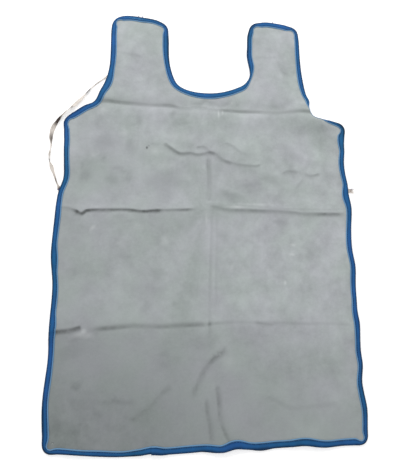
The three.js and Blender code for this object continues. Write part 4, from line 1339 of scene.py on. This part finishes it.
# %% Mix the cotton and the threads
cotton, start = new_finish("strap_cotton_twill")
along, across = start.woven()
here = start.own_place()
twill = (along + across * 0.8).wave(0.0013)
picks = across.wave(0.0008)
handled = here.cloud(28.0, 3.0, 0.6)
soil_and_shade = start.kept("soil_and_shade")
bright = 0.94 + twill * 0.10 + picks * 0.05 + (here.cloud(300.0, 2.0) - 0.5) * 0.12
colour = handled.ramp(0.5, 0.8).mixed(tone(224, 216, 208), tone(172, 158, 146)).scaled(bright)
colour = (soil_and_shade * (0.6 + handled * 0.8)).ramp(0.0, 1.0).mixed(colour, tone(74, 64, 58))
relief = (twill + picks * 0.5).bumps(0.5, 0.0003)
start.surface({
    "Base Color": colour, "Roughness": 0.86 + (twill - 0.5) * 0.08, "Normal": relief,
    "Specular IOR Level": 0.25,
})
wear(cotton, [strap_left, strap_right, fray], "strap_cotton")


def thread_finish(name, light, dark):
    """A twisted sewing thread between two colours."""
    thread, first = new_finish(name)
    place = first.own_place()
    shade = place.cloud(180.0, 2.0).ramp(0.35, 0.65).mixed(dark, light)
    ply = place.cloud(1500.0, 1.0)
    first.surface({
        "Base Color": shade, "Roughness": 0.5 + (ply - 0.5) * 0.2, "Normal": ply.bumps(0.3, 0.0002),
    })
    return thread


wear(thread_finish("thread_blue", tone(38, 104, 166), tone(20, 70, 128)), stitches, "binding_tape")
wear(thread_finish("thread_pale_blue", tone(84, 156, 204), tone(48, 116, 176)), sewing[:1], "binding_tape")
wear(thread_finish("thread_violet", tone(104, 84, 142), tone(44, 42, 92)), sewing[1:], "binding_tape")
print(len(bpy.data.materials), "finishes in the file")

# %% [markdown]
# ## Floor and light
# The apron lies on a plain pale floor. One broad soft lamp stands beyond the shoulder tabs, a little to
# the left, so folds throw soft shade towards the hem, and an even sky fills the rest.

# %% Lay the floor and hang the light
FLOOR_HALF = 6.0
FLOOR_DROP = 0.0004
ground = bmesh.new()
below = Matrix.Translation((0, 0, -FLOOR_DROP))
bmesh.ops.create_grid(ground, x_segments=1, y_segments=1, size=FLOOR_HALF, matrix=below)
floor = as_object("floor", ground)
pale, start = new_finish("pale_floor")
start.surface({
    "Base Color": (0.93, 0.93, 0.93, 1), "Roughness": 0.9, "Emission Color": (1, 1, 1, 1),
    "Emission Strength": 0.34,
})
floor.data.materials.append(pale)
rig.stage(floor)

lamp = bpy.data.objects.new("soft_lamp", bpy.data.lights.new("soft_lamp", "AREA"))
scene.collection.objects.link(lamp)
lamp.data.shape = "RECTANGLE"
lamp.data.size, lamp.data.size_y = 1.6, 0.9
lamp.data.energy = 26
lamp.location = (-0.35, 1.75, 1.35)
lamp.rotation_euler = (Vector((0, 0.05, 0)) - lamp.location).to_track_quat("-Z", "Y").to_euler()

sky = bpy.data.worlds.new("sky")
sky.use_nodes = True
sky.node_tree.nodes["Background"].inputs["Color"].default_value = (1.0, 1.0, 1.0, 1)
sky.node_tree.nodes["Background"].inputs["Strength"].default_value = 0.72
scene.world = sky
scene.view_settings.view_transform = "Standard"
print("lamp of", lamp.data.energy, "W beyond the tabs")

# %% [markdown]
# ## Saying what the soft pieces are
# The leather is a sheet laid out flat, cut from a 24 by 36 inch piece, with the tape and its stitches on
# it. Last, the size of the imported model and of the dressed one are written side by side.

on_sheet = tapes + stitches + sewing
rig.sheet(leather, flat=(0.610, 0.914), held="laid", area=0.478, with_pieces=on_sheet)
low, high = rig.bounds()
sizes = {"cad": [list(cad_low), list(cad_high)], "visual": [list(low), list(high)]}
with open("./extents.json", "w") as file:
    json.dump(sizes, file)
print("dressed apron, metres:", [round(c, 4) for c in high - low])
